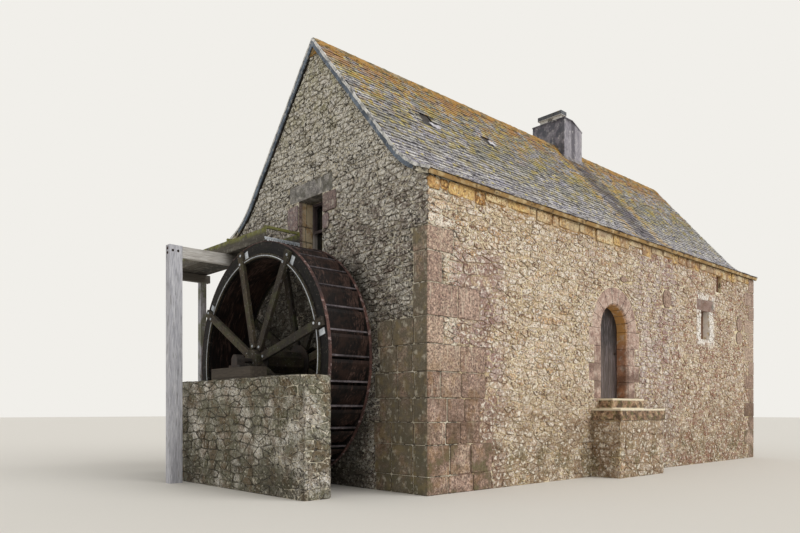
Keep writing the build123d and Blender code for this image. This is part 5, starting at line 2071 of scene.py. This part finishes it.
@dataclass
class WheelDetail:
    """Bands, lips, bolts and plates of the waterwheel, which turn with it."""

    shroud: float = 0.05
    arm_thickness: float = 0.06
    band_proud: float = 0.004
    lining_radius: float = 1.785
    lining_thickness: float = 0.03
    buckets: int = 32
    arms: int = 8
    lip_depth: float = 0.018
    bolt_radii: tuple[float, ...] = (1.79, 1.93, 0.27)
    plate_radius: float = 1.88

    @staticmethod
    def around(angle: float, radius: float, x: float) -> Vector:
        """Return a point of the wheel, by its angle from the top towards -Y."""
        return Vector((x, WHEEL_CENTRE.y - radius * math.sin(angle),
                       WHEEL_CENTRE.z + radius * math.cos(angle)))

    def ring(self, shape: Shape, r0: float, r1: float, x0: float, x1: float) -> None:
        """Add a flat ring round the axle.

        Args:
            shape: The piece that takes the ring.
            r0: Its inner radius.
            r1: Its outer radius.
            x0: Its lower X.
            x1: Its higher X.
        """
        count = 128
        section = ((r0, x0), (r1, x0), (r1, x1), (r0, x1))
        start = len(shape.vertices)
        for turn in range(count):
            angle = 2 * math.pi * turn / count
            shape.vertices.extend(self.around(angle, r, x) for r, x in section)
            shape.tones.extend([0.5] * 4)
            shape.shades.extend([0.0] * 4)
            here, ahead = start + 4 * turn, start + 4 * ((turn + 1) % count)
            for i in range(4):
                j = (i + 1) % 4
                shape.faces.append((here + i, ahead + i, ahead + j, here + j))

    def build_bands(self) -> None:
        """Build the iron bands round the rims, and a pale zinc band on the outer shroud's inner edge that
        also stands in for the water's gleam there.
        """
        shape = Shape()
        over = 0.003
        for x0 in (WHEEL_LOW.x, WHEEL_HIGH.x - self.shroud):
            self.ring(shape, WHEEL_RADIUS - self.band_proud, WHEEL_RADIUS + self.band_proud,
                      x0 - over, x0 + self.shroud + over)
        shape.piece("wheel_rim_bands", RUSTED_BAND, "cast_iron", "waterwheel")
        shape = Shape()
        face = WHEEL_LOW.x - self.lining_thickness
        self.ring(shape, self.lining_radius - 0.002, self.lining_radius + 0.011, face - 0.002, face + 0.006)
        shape.piece("wheel_lining_band", GALVANISED, "cast_iron", "waterwheel")

    def build_lips(self) -> None:
        """Build the worn edge of each bucket."""
        points = PointSet(15)
        draw = points.draw
        width = WHEEL_HIGH.x - WHEEL_LOW.x - 2 * self.shroud - 0.004
        for bucket in range(self.buckets):
            angle = 2 * math.pi * bucket / self.buckets
            place = self.around(angle, WHEEL_RADIUS - self.lip_depth, WHEEL_CENTRE.x)
            points.add(place, Vector((angle, 0, 0)), Vector((width, 0.026, 0.018)), draw.random())
        block_tool(LIP_TIMBER, 0.001, 4).make("bucket_lips", points, "wet_timber", "waterwheel")

    def build_bolts(self) -> None:
        """Build the bolts where the arms lap the rims and the hub."""
        points = PointSet()
        out = self.arm_thickness + 0.002
        for arm in range(self.arms):
            angle = FIRST_ARM + arm * ARM_STEP
            for radius, across in zip(self.bolt_radii, (-0.03, 0.03, 0.0)):
                swing = angle + across / radius
                for x, turn in ((WHEEL_LOW.x - out, -90), (WHEEL_HIGH.x + out, 90)):
                    points.add(self.around(swing, radius, x), Vector((0, math.radians(turn), 0)),
                               Vector((0.026, 0.026, 0.012)))
        bolt_tool(GALVANISED, 6).make("wheel_bolts", points, "wrought_iron", "waterwheel")

    def build_plates(self) -> None:
        """Build the galvanised plates beside the arms' outer ends."""
        points = PointSet()
        for arm in range(self.arms):
            angle = FIRST_ARM + arm * ARM_STEP
            place = self.around(angle + 0.075, self.plate_radius, WHEEL_LOW.x - 0.003)
            points.add(place, Vector((angle, 0, 0)), Vector((0.006, 0.10, 0.17)))
        block_tool(GALVANISED, 0.0, 2).make("arm_end_plates", points, "cast_iron", "waterwheel")

    def build(self) -> None:
        """Build all that is fixed to the wheel."""
        self.build_bands()
        self.build_lips()
        self.build_bolts()
        self.build_plates()


@dataclass
class LaunderDetail:
    """The zinc lip that spills the water, and the bolts of the trestles."""

    teeth: int = 16
    tooth: float = 0.028
    thickness: float = 0.004

    def build_lip(self) -> None:
        """Build the strip of zinc teeth over the launder's end."""
        low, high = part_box("launder_sides")
        points = PointSet(25)
        draw = points.draw
        step = (high.x - low.x) / self.teeth
        y = low.y - self.thickness
        for tooth in range(self.teeth):
            tall = self.tooth * (1.0 + 0.5 * (tooth % 2)) + draw.uniform(-0.004, 0.004)
            place = Vector((low.x + step * (tooth + 0.5), y, low.z + 0.05 - tall / 2))
            points.add(place, Vector((0, 0, 0)), Vector((step * 0.8, self.thickness, tall)))
        middle_x = (low.x + high.x) / 2
        points.add(Vector((middle_x, y, low.z + 0.06)), Vector((0, 0, 0)),
                   Vector((high.x - low.x, self.thickness, 0.03)))
        block_tool(GALVANISED, 0.0, 3).make("launder_zinc_lip", points, "cast_iron")

    def build_bolts(self) -> None:
        """Bolt the posts to the beams."""
        low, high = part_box("trestle_posts")
        beam_low, beam_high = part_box("trestle_beams")
        points = PointSet()
        across = beam_low.y + 0.045
        for z in (beam_low.z + 0.06, beam_high.z - 0.06):
            points.add(Vector((low.x - 0.002, across, z)), Vector((0, math.radians(-90), 0)),
                       Vector((0.03, 0.03, 0.014)))
        for x in (low.x + 0.06, low.x + 0.16):
            points.add(Vector((x, low.y - 0.002, beam_high.z - 0.1)), Vector((math.radians(90), 0, 0)),
                       Vector((0.026, 0.026, 0.012)))
        bolt_tool(WROUGHT_IRON, 6).make("trestle_bolts", points, "wrought_iron")

    def build(self) -> None:
        """Build both."""
        self.build_lip()
        self.build_bolts()


# The model's own nodes

SLOT_FINISH = {
    "rubble_stone": FRONT_MORTAR, "dressed_stone": DRESSED_STONE, "floor_timber": FLOOR_TIMBER,
    "window_timber": WINDOW_TIMBER, "shutter_timber": SHUTTER_TIMBER, "roof_slate": UNDER_SLATE,
    "ridge_mortar": RIDGE_MORTAR, "verge_slate": VERGE_SLATE, "cement_render": CEMENT_RENDER,
    "wrought_iron": WROUGHT_IRON, "cast_iron": CAST_IRON, "trestle_timber": TRESTLE_TIMBER,
    "launder_timber": LAUNDER_TIMBER, "door_timber": LEDGE_TIMBER, "wet_timber": WET_TIMBER,
    "arm_timber": ARM_TIMBER}

NODE_FINISH = {
    "wheel_gable_wall": GABLE_MORTAR, "pit_wall": GABLE_MORTAR,
    "window_lintels": LINTEL_STONE, "door_sill": STEP_STONE, "entrance_step": STEP_STONE,
    "chimney_cover": COVER_SLATE, "trestle_beams": BEAM_TIMBER, "bearing_beam": BEARING_TIMBER,
    "wheel_bucket_floors": BUCKET_TIMBER, "wheel_bucket_fronts": BUCKET_TIMBER,
    "wheel_sole_boards": BUCKET_TIMBER}


def dress_nodes() -> None:
    """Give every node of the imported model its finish."""
    glass = window_glass()
    for name, node in sorted(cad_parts.items()):
        for place in node.material_slots:
            slot = place.material.name
            if slot == "window_glass":
                place.material = glass
            else:
                place.material = material_of(NODE_FINISH.get(name, SLOT_FINISH[slot]))
        log.info("%s dressed", name)


# Studio

@dataclass
class Studio:
    """Camera, pale floor and soft light."""

    camera_place: Vector = field(default_factory=lambda: Vector((-7.34, -10.195, 1.30)))
    camera_turn: float = -42.77
    lens: float = 31.05
    rise: float = 0.179
    sky: float = 0.72
    key: float = 1.5
    backdrop: str = "#f1efea"

    def build_camera(self) -> None:
        """Stand the camera where the photograph was taken from."""
        data = bpy.data.cameras.new("view")
        data.lens = self.lens
        data.sensor_width = 36.0
        data.shift_y = self.rise
        camera = bpy.data.objects.new("view", data)
        camera.location = self.camera_place
        camera.rotation_euler = Euler((math.radians(90), 0.0, math.radians(self.camera_turn)))
        bpy.context.scene.collection.objects.link(camera)
        bpy.context.scene.camera = camera

    def build_floor(self) -> None:
        """Lay a wide pale floor."""
        reach = 120.0
        mesh = bpy.data.meshes.new("studio_floor")
        corners = [(-reach, -reach, 0), (reach, -reach, 0), (reach, reach, 0), (-reach, reach, 0)]
        mesh.from_pydata(corners, [], [(0, 1, 2, 3)])
        floor = bpy.data.objects.new("studio_floor", mesh)
        bpy.context.scene.collection.objects.link(floor)
        material = bpy.data.materials.new("studio_paper")
        material.use_nodes = True
        # Matt studio paper, rolled and uncoated, shows no gloss.
        shader = material.node_tree.nodes["Principled BSDF"]
        shader.inputs["Base Color"].default_value = linear("#d8d4cc")
        shader.inputs["Roughness"].default_value = 0.9
        mesh.materials.append(material)

    def build_light(self) -> None:
        """Light the mill from a pale sky and one broad soft lamp."""
        world = bpy.data.worlds.new("studio")
        world.use_nodes = True
        tree = world.node_tree
        tree.nodes.clear()
        add = partial(add_node, tree)
        ray = add("ShaderNodeLightPath")
        through = add(MATHS, {
            0: ray.outputs["Is Camera Ray"], 1: ray.outputs["Is Transmission Ray"]}, operation="MAXIMUM")
        seen = add(MATHS, {0: through, 1: ray.outputs["Is Glossy Ray"]}, operation="MAXIMUM")
        light = add("ShaderNodeBackground", {"Color": linear("#fbfaf8"), "Strength": self.sky})
        paper = add("ShaderNodeBackground", {"Color": linear(self.backdrop), "Strength": 1.0})
        mixed = add("ShaderNodeMixShader", {0: seen.outputs[0], 1: light.outputs[0], 2: paper.outputs[0]})
        add("ShaderNodeOutputWorld", {"Surface": mixed.outputs[0]})
        bpy.context.scene.world = world
        data = bpy.data.lights.new("soft_key", "SUN")
        data.energy = self.key
        data.angle = math.radians(40)
        lamp = bpy.data.objects.new("soft_key", data)
        lamp.rotation_euler = Euler((math.radians(52), 0.0, math.radians(22)))
        bpy.context.scene.collection.objects.link(lamp)

    def build(self) -> None:
        """Build the studio."""
        self.build_camera()
        self.build_floor()
        self.build_light()
        bpy.context.scene.view_settings.view_transform = "Standard"


def main() -> None:
    """Build the studio, dress the model and add what the model leaves out."""
    logging.basicConfig(level=logging.INFO, format="%(name)s: %(message)s")
    Studio().build()
    dress_nodes()
    for part in (Masonry(), LowMasonry(), SlateRoof(), PlankedDoor(), ArchPointing(), WheelDetail(),
                 LaunderDetail()):
        part.build()


if __name__ == "__main__":
    main()
